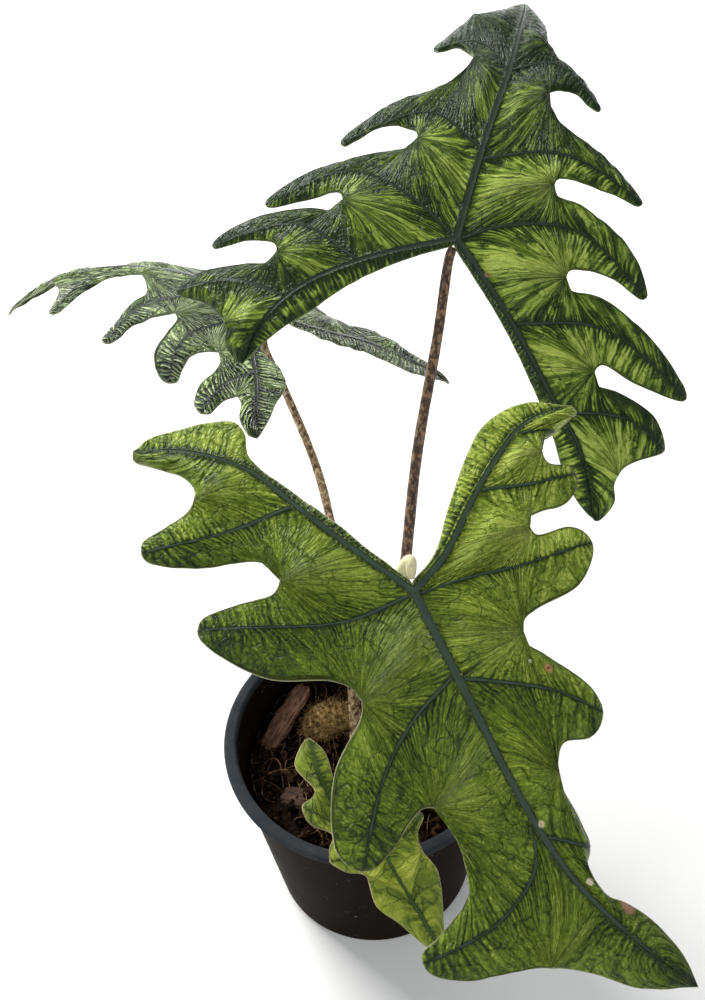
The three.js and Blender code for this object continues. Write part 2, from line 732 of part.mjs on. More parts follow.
function drawSide(sheet, leaf, midrib, side) {
  const name = side > 0 ? 'left' : 'right';
  const half = leaf[name];
  const arm = line([[0, 0], ...half.arm.bend, half.arm.tip]);
  const corner = ribCorner(leaf, midrib, arm);
  const path = parentPath(leaf, midrib, arm, corner, side);
  const ends = [...half.lobes, half.arm];
  const outline = [leaf.midrib[leaf.midrib.length - 1]];
  const marks = [];
  ends.forEach((end, i) => {
    const last = outline[outline.length - 1];
    const [before, after] = [end.from.at(-1) ?? last, end.to[0] ?? end.tip];
    const [near, far] = rounding(before, end.sinus, after, leaf.bay, side, 1);
    outline.push(...end.from, ...near);
    const sinus = outline.push(end.sinus) - 1;
    outline.push(...far, ...end.to);
    const next = i + 1 < ends.length ? ends[i + 1].from[0] ?? ends[i + 1].sinus : half.arm.bend.at(-1);
    const [front, rear] = rounding(outline.at(-1), end.tip, next, leaf.blunt, side, -1);
    outline.push(...front);
    marks.push({ sinus, tip: outline.push(end.tip) - 1 });
    if (i + 1 < ends.length) outline.push(...rear);
  });
  const margin = { curve: line(outline), count: outline.length };
  const roots = half.lobes.map((lobe) => path.down + (lobe.arm ?? -lobe.root));
  const stops = [0, ...roots, path.down + path.out];
  const splits = stops.slice(1).map((stop, i) => {
    if (i === 0) return roots[0] * END_SPLIT;
    if (i === ends.length - 1) return stop - (stop - stops[i]) * END_SPLIT;
    const crosses = stops[i] < path.down - 1e-6 && stop > path.down + 1e-6;
    return crosses ? path.down : (stops[i] + stop) / 2;
  });
  const sinusLines = splits.map((q, i) => {
    const [start, stop] = [path.at(q), new THREE.Vector3(...ends[i].sinus, 0)];
    return evenly(COLUMNS_TO_SINUS, 0, 1).map((f) => start.clone().lerp(stop, f));
  });
  const count = COLUMNS_TO_SINUS + COLUMNS_TO_TIP;
  const edgeRows = [];

  const leftEdge = (from, to) => {
    const edge = ROWS.map((v) => path.at(from + (to - from) * v));
    edge.rows = ROWS;
    return edge;
  };

  half.lobes.forEach((lobe, i) => {
    const root = path.at(roots[i]);
    const vein = line([[root.x, root.y], ...lobe.bend, lobe.tip]);
    const [near, far] = [ends[i], ends[i + 1]].map(({ sinus }) => new THREE.Vector3(...sinus, 0));
    const middle = near.lerp(far, 0.5);
    const reach = nearestFraction(vein, middle);
    const fractions = [
      ...evenly(COLUMNS_TO_SINUS, 0, reach),
      ...crowded(COLUMNS_TO_TIP).slice(1).map((f) => reach + (1 - reach) * f),
    ];
    const bottom = fractions.map((f) => vein.getPointAt(f));
    const columnReach = COLUMNS_TO_SINUS / count;
    for (const step of [0, 1]) {
      const fractions = crowdedBothEnds(COLUMNS_TO_TIP);
      const toTip = marginPart(margin, marks[i + step].sinus, marks[i].tip, fractions);
      const top = [...sinusLines[i + step], ...toTip.slice(1)];
      const lift = (u, v) => lobeLift(v, u, columnReach);
      const rib = (u) => LOBE_RIB * (leaf.rib.height / FULL_RIB) * (1 - RIB_THINNING * u);
      patch(sheet, bottom, top, leftEdge(roots[i], splits[i + step]), lift, rib);
    }
  });

  const endLift = (u, v) => {
    const droop = EDGE_DROOP * v * v * Math.sin(Math.PI * u);
    return sinusLift(v) * (1 - u) ** 2 - droop - LOBE_CURL * u * u;
  };
  const ribEnds = [
    { from: splits[0], to: 0, sinusLine: sinusLines[0], first: marks[0].sinus, last: 0 },
    {
      from: splits[splits.length - 1],
      to: path.down + path.out,
      sinusLine: sinusLines[sinusLines.length - 1],
      first: marks[marks.length - 1].sinus,
      last: marks[marks.length - 1].tip,
    },
  ];
  for (const end of ribEnds) {
    const fractions = crowded(COLUMNS_TO_TIP + 1);
    const bottom = fractions.map((f) => path.at(end.from + (end.to - end.from) * f));
    const top = marginPart(margin, end.first, end.last, crowdedBothEnds(COLUMNS_TO_TIP + 1));
    bottom[bottom.length - 1] = top[top.length - 1].clone();
    const left = [...end.sinusLine];
    left.rows = evenly(COLUMNS_TO_SINUS, 0, 1);
    patch(sheet, bottom, top, left, endLift, () => 0);
    edgeRows.push(bottom);
  }

  // Band of the midrib on this side, and the arm's outer band
  const tipStretch = edgeRows[0].slice(1).reverse();
  const armStretch = edgeRows[1].slice(1);
  const edgePoints = (low, high) => {
    const knots = [low, high, ...roots, ...splits].filter((q) => q >= low - 1e-6 && q <= high + 1e-6);
    const sorted = [...new Set(knots.map((q) => Math.round(q * 1e6) / 1e6))].sort((a, b) => a - b);
    const places = [sorted[0]];
    for (let i = 1; i < sorted.length; i += 1) {
      const fromRoot = roots.some((q) => Math.abs(q - sorted[i - 1]) < 1e-5);
      const rows = fromRoot ? ROWS : ROWS.map((v) => 1 - v).reverse();
      for (const v of rows.slice(1)) places.push(sorted[i - 1] + (sorted[i] - sorted[i - 1]) * v);
    }
    return places.map((q) => path.at(q));
  };
  const midribEdge = [...tipStretch, ...edgePoints(splits[0], path.down)].reverse();
  const armEdge = [...edgePoints(path.down, splits[splits.length - 1]), ...armStretch];
  return { arm, corner, midribEdge, armEdge };
}

function nearestFraction(curve, point) {
  let [best, found] = [Infinity, 0.5];
  for (const f of evenly(60, 0.2, 0.75)) {
    const distance = curve.getPointAt(f).distanceTo(point);
    if (distance < best) [best, found] = [distance, f];
  }
  return found;
}

function ribLine(sheet, leaf, curve) {
  return crowded(RIB_STEPS, 1.15).map((f) => {
    const depth = leaf.rib.height * (1 - RIB_THINNING * f);
    return sheet.add(curve.getPointAt(f), -LOBE_CURL * curl(f), depth);
  });
}

// Share of the curl at the tip that a fraction of a rib has
function curl(fraction) {
  return Math.max(0, (fraction - CURL_FROM) / (1 - CURL_FROM)) ** 2;
}

// The strip of blade inside an arm, from the back corner to the arm's tip
function innerStrip(sheet, leaf, arm, back, side) {
  const widths = new THREE.SplineCurve(
    [[0, 0], ...leaf[side > 0 ? 'left' : 'right'].inner, [1, 0]].map(([x, y]) => new THREE.Vector2(x, y)),
  );
  const widthAt = (f) => {
    let [low, high] = [0, 1];
    for (let i = 0; i < 30; i += 1) {
      const middle = (low + high) / 2;
      if (widths.getPoint(middle).x < f) low = middle;
      else high = middle;
    }
    return Math.max(0, widths.getPoint(low).y);
  };
  const start = besideRib(leaf, arm, 0, side);
  const length = arm.getLength();
  const columns = crowded(STRIP_STEPS, 1.2).map((f, i, all) => {
    const tangent = arm.getTangentAt(f);
    const inward = new THREE.Vector3(-tangent.y, tangent.x, 0).multiplyScalar(side);
    const near = besideRib(leaf, arm, f, side);
    const blend = Math.max(0, 1 - f * length / (RIB_BLEND * leaf.rib.width));
    near.addScaledVector(back.clone().sub(start), blend);
    if (i === all.length - 1) near.copy(arm.getPointAt(1));
    const width = i === 0 || i === all.length - 1 ? 0 : widthAt(f) + INNER_EDGE;
    return [0, 0.5, 1].map((v) => {
      const point = near.clone().addScaledVector(inward, v * width);
      return sheet.add(point, -LOBE_CURL * curl(f) - EDGE_DROOP * v * v * Math.sin(Math.PI * f), 0);
    });
  });
  sheet.grid(columns);
  return columns.map((column) => column[0]);
}

function drawBlade(leaf) {
  const sheet = new Sheet();
  const midrib = line(leaf.midrib);
  const midribRow = ribLine(sheet, leaf, midrib);
  const sides = [1, -1].map((side) => ({ side, ...drawSide(sheet, leaf, midrib, side) }));
  const back = ribCorner(leaf, sides[0].arm, sides[1].arm);
  for (const { side, arm, midribEdge, armEdge } of sides) {
    const row = (points) => points.map((point) => sheet.add(point));
    sheet.stitch(midribRow, row(midribEdge));
    const armRow = ribLine(sheet, leaf, arm);
    sheet.stitch(armRow, row(armEdge));
    sheet.stitch(armRow, innerStrip(sheet, leaf, arm, back, side));
  }
  return sheet;
}

// The flat drawing bent into place: an arc along the midrib and an arc to each side of it

function arc(distance, start, rate) {
  if (Math.abs(rate) < 1e-9) return [distance * Math.cos(start), distance * Math.sin(start)];
  const end = start + rate * distance;
  return [(Math.sin(end) - Math.sin(start)) / rate, (Math.cos(start) - Math.cos(end)) / rate];
}

function leafFrame({ heading, pitch, roll }) {
  const [h, p, r] = [heading, pitch, roll].map(radians);
  const ahead = new THREE.Vector3(Math.sin(h) * Math.cos(p), Math.cos(h) * Math.cos(p), Math.sin(p));
  const level = new THREE.Vector3(-Math.cos(h), Math.sin(h), 0);
  const upright = new THREE.Vector3().crossVectors(ahead, level);
  const left = level.clone().multiplyScalar(Math.cos(r)).addScaledVector(upright, Math.sin(r));
  const up = upright.clone().multiplyScalar(Math.cos(r)).addScaledVector(level, -Math.sin(r));
  return { ahead, left, up };
}

function bent(leaf, frame, s, t, lift) {
  const per100 = (degrees) => radians(degrees) / 100;
  const along = per100(s > 0 ? leaf.bend.tip : leaf.bend.back);
  const [forward, drop] = arc(Math.abs(s), 0, along);
  const angle = -along * s;
  const side = t > 0 ? 'left' : 'right';
  const [across, fall] = arc(Math.abs(t), radians(leaf.fold[side]), per100(leaf.bend[side]));
  const normal = frame.up.clone().multiplyScalar(Math.cos(angle));
  normal.addScaledVector(frame.ahead, -Math.sin(angle));
  return new THREE.Vector3(...leaf.at)
    .addScaledVector(frame.ahead, Math.sign(s) * forward)
    .addScaledVector(frame.up, -drop)
    .addScaledVector(frame.left, Math.sign(t) * across)
    .addScaledVector(normal, lift - fall);
}

function bladeGeometry(leaf) {
  const sheet = drawBlade(leaf);
  const frame = leafFrame(leaf);
  const middle = sheet.points.map(({ s, t, lift }) => bent(leaf, frame, s, t, lift));
  const normals = middle.map(() => new THREE.Vector3());
  for (const [a, b, c] of sheet.triangles) {
    const face = middle[b].clone().sub(middle[a]).cross(middle[c].clone().sub(middle[a]));
    for (const i of [a, b, c]) normals[i].add(face);
  }
  normals.forEach((normal) => normal.normalize());
  const half = BLADE_THICKNESS / 2;
  const upper = middle.map((point, i) => point.clone().addScaledVector(normals[i], half));
  const lower = middle.map((point, i) => {
    return point.clone().addScaledVector(normals[i], -half - sheet.points[i].rib);
  });
  const total = middle.length;
  const index = [];
  const edges = new Map();
  for (const [a, b, c] of sheet.triangles) {
    index.push(a, b, c, total + a, total + c, total + b);
    for (const [from, to] of [[a, b], [b, c], [c, a]]) {
      if (edges.has(`${to},${from}`)) edges.delete(`${to},${from}`);
      else edges.set(`${from},${to}`, [from, to]);
    }
  }
  for (const [from, to] of edges.values()) {
    index.push(from, total + from, total + to, from, total + to, to);
  }
  return closedGeometry([...upper, ...lower], index);
}

// Stalks: each stands in the corm and ends in the notch behind its blade's three main ribs

function stalkTo(leaf, path, radii, shoulder) {
  const { ahead, left, up } = leafFrame(leaf);
  const arms = ['left', 'right'].map((name) => line([[0, 0], ...leaf[name].arm.bend, leaf[name].arm.tip]));
  const notch = ribCorner(leaf, arms[0], arms[1]);
  const halfAngle = Math.asin(leaf.rib.width / notch.length());
  notch.normalize();
  const back = ahead.clone().multiplyScalar(notch.x).addScaledVector(left, notch.y);
  const nose = radii.end * NOSE_BLUNT;
  const clear = (leaf.rib.width + INNER_EDGE + GAP + nose * Math.cos(halfAngle)) / Math.sin(halfAngle);
  const end = new THREE.Vector3(...leaf.at).addScaledVector(back, clear);
  const before = end.clone().addScaledVector(back, shoulder.back).addScaledVector(up, -shoulder.under);
  return { path: [...path, before.toArray(), end.toArray()], ...radii };
}

const STALKS = {
  top: stalkTo(
    TOP_LEAF,
    [[5, 5, SOCKET_FLOOR], [9, 13, 110], [20, 31, 175], [27.5, 43, 238], [37, 58, 285]],
    { base: 4.6, neck: 2.9, end: 1.9 },
    { back: 3, under: 4 },
  ),
  front: stalkTo(
    FRONT_LEAF,
    [[3, -5, SOCKET_FLOOR], [5, -9, 110], [7, -22, 170], [10, -44, 235], [12.5, -61, 280]],
    { base: 4.4, neck: 2.9, end: 2.4 },
    { back: 5, under: -2.5 },
  ),
  side: stalkTo(
    SIDE_LEAF,
    [
      [-5, 3, SOCKET_FLOOR], [-5, 12, 112], [-6, 33, 155],
      [-13, 67, 202], [-26.4, 97, 230.5], [-34, 112, 245],
    ],
    { base: 3.9, neck: 2.3, end: 1.7 },
    { back: 6, under: 2 },
  ),
  young: stalkTo(
    YOUNG_LEAF,
    [[-6, -5, SOCKET_FLOOR], [-7, -12, 104], [-6, -34, 132]],
    { base: 3, neck: 1.7, end: 1.3 },
    { back: 4, under: 4.5 },
  ),
};

// Corm: the short upright stem, half sunk in the mix, with a socket for each stalk

function cormProfile() {
  return [
    [0, CORM_BOTTOM],
    [0.7 * CORM_RADIUS, CORM_BOTTOM],
    [CORM_RADIUS, CORM_BOTTOM + 8],
    [CORM_RADIUS, SOIL_LEVEL + 3],
    [0.9 * CORM_RADIUS, CORM_TOP - 3],
    [0.6 * CORM_RADIUS, CORM_TOP],
    [0, CORM_TOP],
  ];
}

const SOCKETS = Object.values(STALKS).map((stalk) => toSolid(stalkGeometry(stalk, GAP)));

function cormGeometry() {
  const body = toSolid(lathe(cormProfile(), CORM_SIDES));
  return fromSolid(SOCKETS.reduce((solid, socket) => solid.subtract(socket), body));
}

// The hole that the corm stands in, open above the mix
function cormHole() {
  const radius = CORM_RADIUS + GAP;
  const bottom = CORM_BOTTOM - GAP;
  return toSolid(lathe([[0, bottom], [radius, bottom], [radius, POT_HEIGHT], [0, POT_HEIGHT]], CORM_SIDES));
}

const plant = new THREE.Group();
const holes = [
  cormHole(),
  toSolid(lumpGeometry(MOSS, GAP)),
  ...BARK_CHIPS.map((chip) => toSolid(barkGeometry(chip, GAP))),
  ...SOCKETS,
];

plant.add(piece('pot', potGeometry(), 0x2b2a2c, 0.45));
plant.add(piece('potting_mix', soilGeometry(holes), 0x2a1c14, 0.95));
plant.add(piece('moss', positionsOnly(lumpGeometry(MOSS)), 0x6b6a36, 0.95));
for (const chip of BARK_CHIPS) {
  plant.add(piece(chip.name, positionsOnly(barkGeometry(chip)), 0x5a3322, 0.85));
}
plant.add(piece('corm', cormGeometry(), 0x5d4a30, 0.8));
const LEAVES = { top: TOP_LEAF, front: FRONT_LEAF, side: SIDE_LEAF, young: YOUNG_LEAF };
const LEAF_COLOURS = { top: 0x2f5a1e, front: 0x47701f, side: 0x24402c, young: 0x8fae4a };
for (const [name, leaf] of Object.entries(LEAVES)) {
  plant.add(piece(`${name}_leaf_stalk`, stalkGeometry(STALKS[name]), 0x6a4a34, 0.6));
  plant.add(piece(`${name}_leaf_blade`, bladeGeometry(leaf), LEAF_COLOURS[name], 0.45));
}

export default plant;
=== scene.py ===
# %% [markdown]
# # A potted aroid with four lobed leaves
# The plain solids of the plant are already packed: a pot, its mix, a corm, four stalks and four
# blades. This lesson dresses them. The blades, stalks, pot, mix, bark and moss are worked out again
# as fine surfaces of the same form, and each gets a procedural finish.
# All numbers below are millimetres in the frame of the solids: +Z is up and +Y points away from
# the viewer. Only the mesh builder turns them into metres.

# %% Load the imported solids
import math
import bmesh
import bpy
import numpy as np
from mathutils import Matrix, Vector


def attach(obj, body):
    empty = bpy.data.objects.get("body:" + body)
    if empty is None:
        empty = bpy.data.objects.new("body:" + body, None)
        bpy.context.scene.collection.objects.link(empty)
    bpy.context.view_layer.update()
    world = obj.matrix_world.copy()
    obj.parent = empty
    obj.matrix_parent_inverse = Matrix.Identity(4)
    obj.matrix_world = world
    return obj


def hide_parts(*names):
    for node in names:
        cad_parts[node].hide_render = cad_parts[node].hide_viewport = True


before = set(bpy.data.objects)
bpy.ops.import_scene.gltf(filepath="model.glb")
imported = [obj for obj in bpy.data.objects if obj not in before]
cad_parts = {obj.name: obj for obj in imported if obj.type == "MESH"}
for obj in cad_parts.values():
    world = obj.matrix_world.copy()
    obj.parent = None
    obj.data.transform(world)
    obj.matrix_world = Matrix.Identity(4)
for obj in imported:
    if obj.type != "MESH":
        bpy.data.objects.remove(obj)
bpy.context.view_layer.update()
MM = 0.001

# %% [markdown]
# ## Camera
# The photograph looks down at the plant from the front at about 45 degrees, from close by, so near
# leaves look larger. A camera with the same place, tilt and lens gives the same perspective. The
# place was found by fitting the two circles of the pot's lip.

# %% Camera
CAMERA_PLACE = Vector((0.0003, -0.3088, 0.566))
CAMERA_PITCH = math.radians(45.1)
CAMERA_ROLL = math.radians(-3.7)
CAMERA_LENS = 43.2

camera = bpy.data.objects.new("camera", bpy.data.cameras.new("camera"))
bpy.context.collection.objects.link(camera)
camera.data.lens = CAMERA_LENS
camera.data.sensor_width = 36
camera.data.clip_start = 0.01
ahead = Vector((0, math.cos(CAMERA_PITCH), -math.sin(CAMERA_PITCH)))
level = Vector((1, 0, 0))
upright = level.cross(ahead)
right = math.cos(CAMERA_ROLL) * level + math.sin(CAMERA_ROLL) * upright
top = math.cos(CAMERA_ROLL) * upright - math.sin(CAMERA_ROLL) * level
turned = Matrix((right, top, -ahead)).transposed()
camera.matrix_world = Matrix.Translation(CAMERA_PLACE) @ turned.to_4x4()
bpy.context.scene.camera = camera
print("camera stands at", tuple(CAMERA_PLACE), "and looks", math.degrees(CAMERA_PITCH), "degrees down")

# %% [markdown]
# ## Floor and light
# The leaves are glossy, so what they mirror matters as much as what falls on them. In the photograph
# a bright window stands behind the plant to the left: it whitens the upper edges of the leaves there.
# A strong soft panel takes its place. A weaker one is the wall behind, two more fill the front and
# the left side, and a pale sky lifts the shadows.

# %% Floor and light
SKY_STRENGTH = 0.34
FLOOR_HALF = 4


def soft_panel(name, place, aim, size, watts, colour=(1, 1, 1)):
    """A square area light at place, facing the point aim."""
    light = bpy.data.lights.new(name, "AREA")
    light.size = size
    light.energy = watts
    light.color = colour
    panel = bpy.data.objects.new(name, light)
    bpy.context.collection.objects.link(panel)
    panel.location = place
    panel.rotation_euler = (Vector(aim) - Vector(place)).to_track_quat("-Z", "Y").to_euler()


soft_panel("window", (-1.0, 1.25, 1.35), (0, 0.05, 0.2), 1.0, 62, (1.0, 0.99, 0.97))
soft_panel("back wall", (0.2, 1.75, 0.5), (0, 0, 0.25), 1.3, 12, (1.0, 1.0, 1.0))
soft_panel("front fill", (1.1, -1.5, 1.4), (0, 0, 0.15), 1.8, 15, (0.97, 0.98, 1.0))
soft_panel("side fill", (-1.6, -0.6, 0.9), (0, 0, 0.15), 1.2, 9)

world = bpy.data.worlds.new("pale sky")
world.use_nodes = True
sky = world.node_tree.nodes["Background"].inputs
sky["Color"].default_value = (0.94, 0.97, 1.0, 1)
sky["Strength"].default_value = SKY_STRENGTH
bpy.context.scene.world = world
bpy.context.scene.view_settings.view_transform = "Standard"

floor_mesh = bpy.data.meshes.new("floor")
floor_corners = [(x * FLOOR_HALF, y * FLOOR_HALF, 0) for x, y in ((-1, -1), (1, -1), (1, 1), (-1, 1))]
floor_mesh.from_pydata(floor_corners, [], [(0, 1, 2, 3)])
floor = bpy.data.objects.new("floor", floor_mesh)
bpy.context.collection.objects.link(floor)
floor_finish = bpy.data.materials.new("pale floor")
floor_finish.use_nodes = True
matt = floor_finish.node_tree.nodes["Principled BSDF"].inputs
matt["Base Color"].default_value = (0.86, 0.86, 0.85, 1)
matt["Roughness"].default_value = 0.9
floor_mesh.materials.append(floor_finish)
print("floor and four soft panels are in place")

# %% [markdown]
# ## Meshes from arrays
# Every new piece below is a surface worked out with numpy: its points are a function of two numbers
# on a grid. A grid is numbered column by column, and each cell becomes two triangles. Where two grids
# meet, points that fall together are joined, so the surface has no seam.

# %% Meshes from arrays
LATTICE = 32


def smooth(x):
    """A rise from 0 to 1 with level ends: three x squared minus two x cubed, held between 0 and 1."""
    x = np.clip(x, 0, 1)
    return x * x * (3 - 2 * x)


def lattice_noise(points, cell, seed):
    """Smooth noise from -1 to 1: random numbers on a lattice of that cell, blended by smooth steps."""
    table = np.random.default_rng(seed).uniform(-1, 1, (LATTICE,) * 3)
    low = np.floor(points / cell).astype(int)
    part = smooth(points / cell - low)
    total = 0
    for corner in np.ndindex(2, 2, 2):
        weight = np.prod(np.where(corner, part, 1 - part), axis=-1)
        i, j, k = np.moveaxis((low + corner) % LATTICE, -1, 0)
        total = total + weight * table[i, j, k]
    return total


def grid_cells(columns, rows, close_rows=False):
    """Triangles of a grid of columns times rows points; close_rows joins the last row to the first."""
    i, j = np.meshgrid(np.arange(columns - 1), np.arange(rows if close_rows else rows - 1), indexing="ij")
    after = (j + 1) % rows
    a, b = i * rows + j, (i + 1) * rows + j
    c, d = (i + 1) * rows + after, i * rows + after
    return np.concatenate([np.stack([a, b, c], -1).reshape(-1, 3), np.stack([a, c, d], -1).reshape(-1, 3)])


def join_near(points, triangles, fineness=1e-3):
    """Points that round to the same place become one; triangles that lose a side are dropped.

    Gives the first point of each place, the place of each point, the triangles between places, and
    which of them are whole.
    """
    rounded = np.round(points / fineness).astype(np.int64)
    _, first, where = np.unique(rounded, axis=0, return_index=True, return_inverse=True)
    where = where.reshape(-1)
    joined = where[triangles]
    whole = np.all(joined != np.roll(joined, -1, axis=1), axis=1)
    return first, where, joined, whole


def outward(points, triangles):
    """The triangles, turned over together if the volume that they close is negative."""
    a, b, c = (points[triangles[:, k]] for k in range(3))
    volume = np.einsum("ij,ij->", a, np.cross(b, c))
    return triangles if volume > 0 else triangles[:, [0, 2, 1]]


def closed(points, triangles, fineness=1e-3):
    """The shape with its near points joined and its faces turned outwards."""
    first, _, joined, whole = join_near(points, triangles, fineness)
    return points[first], outward(points[first], joined[whole])


def add_piece(name, points, triangles, finish, slot, replaces=(), marks=None, map_corners=None):
    """A smooth mesh of these points in millimetres, riding on the root, with its finish and its marks.

    marks are numbers at each point that the finish can read by name. map_corners is a UV place for
    each corner of each triangle.
    """
    mesh = bpy.data.meshes.new(name)
    mesh.vertices.add(len(points))
    mesh.vertices.foreach_set("co", (points * MM).astype(np.float32).ravel())
    mesh.loops.add(3 * len(triangles))
    mesh.loops.foreach_set("vertex_index", triangles.astype(np.int32).ravel())
    mesh.polygons.add(len(triangles))
    mesh.polygons.foreach_set("loop_start", 3 * np.arange(len(triangles), dtype=np.int32))
    mesh.update(calc_edges=True)
    if map_corners is not None:
        layer = mesh.uv_layers.new(name="veins")
        layer.uv.foreach_set("vector", map_corners.astype(np.float32).ravel())
    for mark, values in (marks or {}).items():
        mesh.attributes.new(mark, "FLOAT", "POINT").data.foreach_set("value", values.astype(np.float32))
    mesh.shade_smooth()
    mesh.materials.append(finish)
    piece = bpy.data.objects.new(name, mesh)
    bpy.context.collection.objects.link(piece)
    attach(piece, "root")
    if replaces:
        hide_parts(*replaces)
    print(f"{name}: {len(points)} points, {len(triangles)} triangles")
    return piece


def gather(parts):
    """Points and triangles of many shapes as one: each part starts with its points and its triangles."""
    starts = np.cumsum([0] + [len(part[0]) for part in parts[:-1]])
    points = np.concatenate([part[0] for part in parts])
    return points, np.concatenate([part[1] + start for part, start in zip(parts, starts)])

# %% [markdown]
# ## Lines
# Veins, margins and stalks all follow a line that passes through a few chosen points. A centripetal
# Catmull-Rom spline does that without loops or overshoot, and here it is measured along its length, so
# that a fraction of it is a real distance.

# %% Lines
class Line:
    """A smooth line through points in two or three dimensions, measured along its length.

    Between two points it is a cubic whose end slopes weigh the neighbouring points by the square
    roots of their distances. at() and heading() take fractions of the whole length.
    """

    def __init__(self, points, samples=160):
        """Works out the points of the line, the length up to each, and the length up to each knot."""
        knots = np.array(points, float)
        if len(knots) == 2:
            knots = np.array([knots[0], knots.mean(0), knots[1]])
        padded = np.vstack([2 * knots[0] - knots[1], knots, 2 * knots[-1] - knots[-2]])
        gap = np.sqrt(np.linalg.norm(np.diff(padded, axis=0), axis=1))[:, None]
        p0, p1, p2, p3 = padded[:-3], padded[1:-2], padded[2:-1], padded[3:]
        d0, d1, d2 = gap[:-2], gap[1:-1], gap[2:]
        leave = d1 * ((p1 - p0) / d0 - (p2 - p0) / (d0 + d1) + (p2 - p1) / d1)
        arrive = d1 * ((p2 - p1) / d1 - (p3 - p1) / (d1 + d2) + (p3 - p2) / d2)
        w = (np.arange(samples) / samples)[None, :, None]
        p1, p2, leave, arrive = (part[:, None] for part in (p1, p2, leave, arrive))
        square, cube = 3 * (p2 - p1) - 2 * leave - arrive, 2 * (p1 - p2) + leave + arrive
        cubic = p1 + leave * w + square * w**2 + cube * w**3
        self.points = np.vstack([cubic.reshape(-1, knots.shape[1]), knots[-1]])
        self.reach = np.concatenate([[0], np.cumsum(np.linalg.norm(np.diff(self.points, axis=0), axis=1))])
        self.length = self.reach[-1]
        self.marks = self.reach[::samples]

    def at(self, fraction):
        """Points at those fractions of the length."""
        place = np.asarray(fraction, float) * self.length
        return np.stack([np.interp(place, self.reach, column) for column in self.points.T], -1)

    def heading(self, fraction):
        """Directions there, of length 1: from just before to just after."""
        fraction = np.asarray(fraction, float)
        step = self.at(np.minimum(fraction + 1e-3, 1)) - self.at(np.maximum(fraction - 1e-3, 0))
        return step / np.linalg.norm(step, axis=-1, keepdims=True)

# %% [markdown]
# ## How each leaf is drawn
# A blade of this plant is an arrow: a midrib runs from the stalk to the tip, and two arms run back
# from the stalk. Lobes with rounded bays between them grow from both. Each leaf is first drawn flat, in
# millimetres, as (towards the tip, towards the leaf's left) from the stalk. A lobe takes the margin's
# points before a sinus, the sinus, the points after it, the lobe's tip and the bends of its vein, which
# starts at root along the midrib or at arm along the arm. inner is the width of blade inside an arm, bay
# and blunt round the sinuses and the tips, and groove is the depth of the furrow along the midrib.
# heading, pitch and roll set the leaf in space, and bend and fold are degrees of curl.

# %% Leaf drawings
def lobe(before, sinus, after, tip, bend, **start):
    """A lobe or an arm: its margin round a sinus, its tip, its vein's bends, and where the vein starts."""
    return dict(before=before, sinus=sinus, after=after, tip=tip, bend=bend, **start)


TOP_LEAF = dict(
    at=(45, 72, 317), heading=24, pitch=30, roll=12,
    bend=dict(tip=26, back=18, left=22, right=22), fold=dict(left=0, right=0),
    rib=dict(width=1.9, height=1.3), groove=0.45, bay=4, blunt=1.6,
    midrib=[(0, 0), (39, 1), (88, 1), (150, 5), (158, 6)],
    left=dict(
        lobes=[
            lobe([(139, 13)], (121, 23), [(106, 30)], (94, 33), [(99, 15)], root=86),
            lobe([(97, 24)], (87, 16), [(72, 22), (55, 42)], (33, 55), [(52, 24)], root=41),
            lobe([(44, 40)], (38, 26), [(30, 38), (18, 62)], (0, 77), [(14, 25), (18, 48)], root=0),
            lobe([(4, 61)], (5, 46), [(0, 58), (-7, 80)], (-21, 94), [(-8, 60)], arm=38),
            lobe([(-17, 79)], (-21, 65), [(-27, 76), (-34, 96)], (-43, 104), [(-35, 80)], arm=68),
        ],
        arm=lobe([(-46, 89)], (-53, 77), [(-60, 75)], (-66, 66), [(-19, 35), (-35, 54), (-51, 63)]),
        inner=[(0.15, 1), (0.4, 4.5), (0.65, 8.5), (0.86, 4.5)],
    ),
    right=dict(
        lobes=[
            lobe([(133, -6), (119, -9)], (107, -13), [(101, -24)], (84, -38), [(98, -16)], root=86),
            lobe([(87, -26)], (78, -17), [(66, -24), (58, -45)], (44, -64), [(49, -29)], root=36),
            lobe(
                [(42, -48)], (34, -29), [(30, -42), (21, -64)], (4, -75), [(10, -15), (18, -42)],
                root=0,
            ),
            lobe([(6, -60)], (-2, -43), [(-4, -58), (-13, -84)], (-29, -102), [(-16, -62)], arm=39),
            lobe([(-31, -80)], (-33, -63), [(-37, -74), (-41, -91)], (-52, -99), [(-46, -80)], arm=76),
        ],
        arm=lobe(
            [(-60, -89)], (-68, -83), [(-78, -85)], (-87, -80), [(-23, -26), (-47, -50), (-63, -66)],
        ),
        inner=[(0.2, 0.5), (0.36, 1), (0.58, 3), (0.8, 7), (0.92, 4.5)],
    ),
)

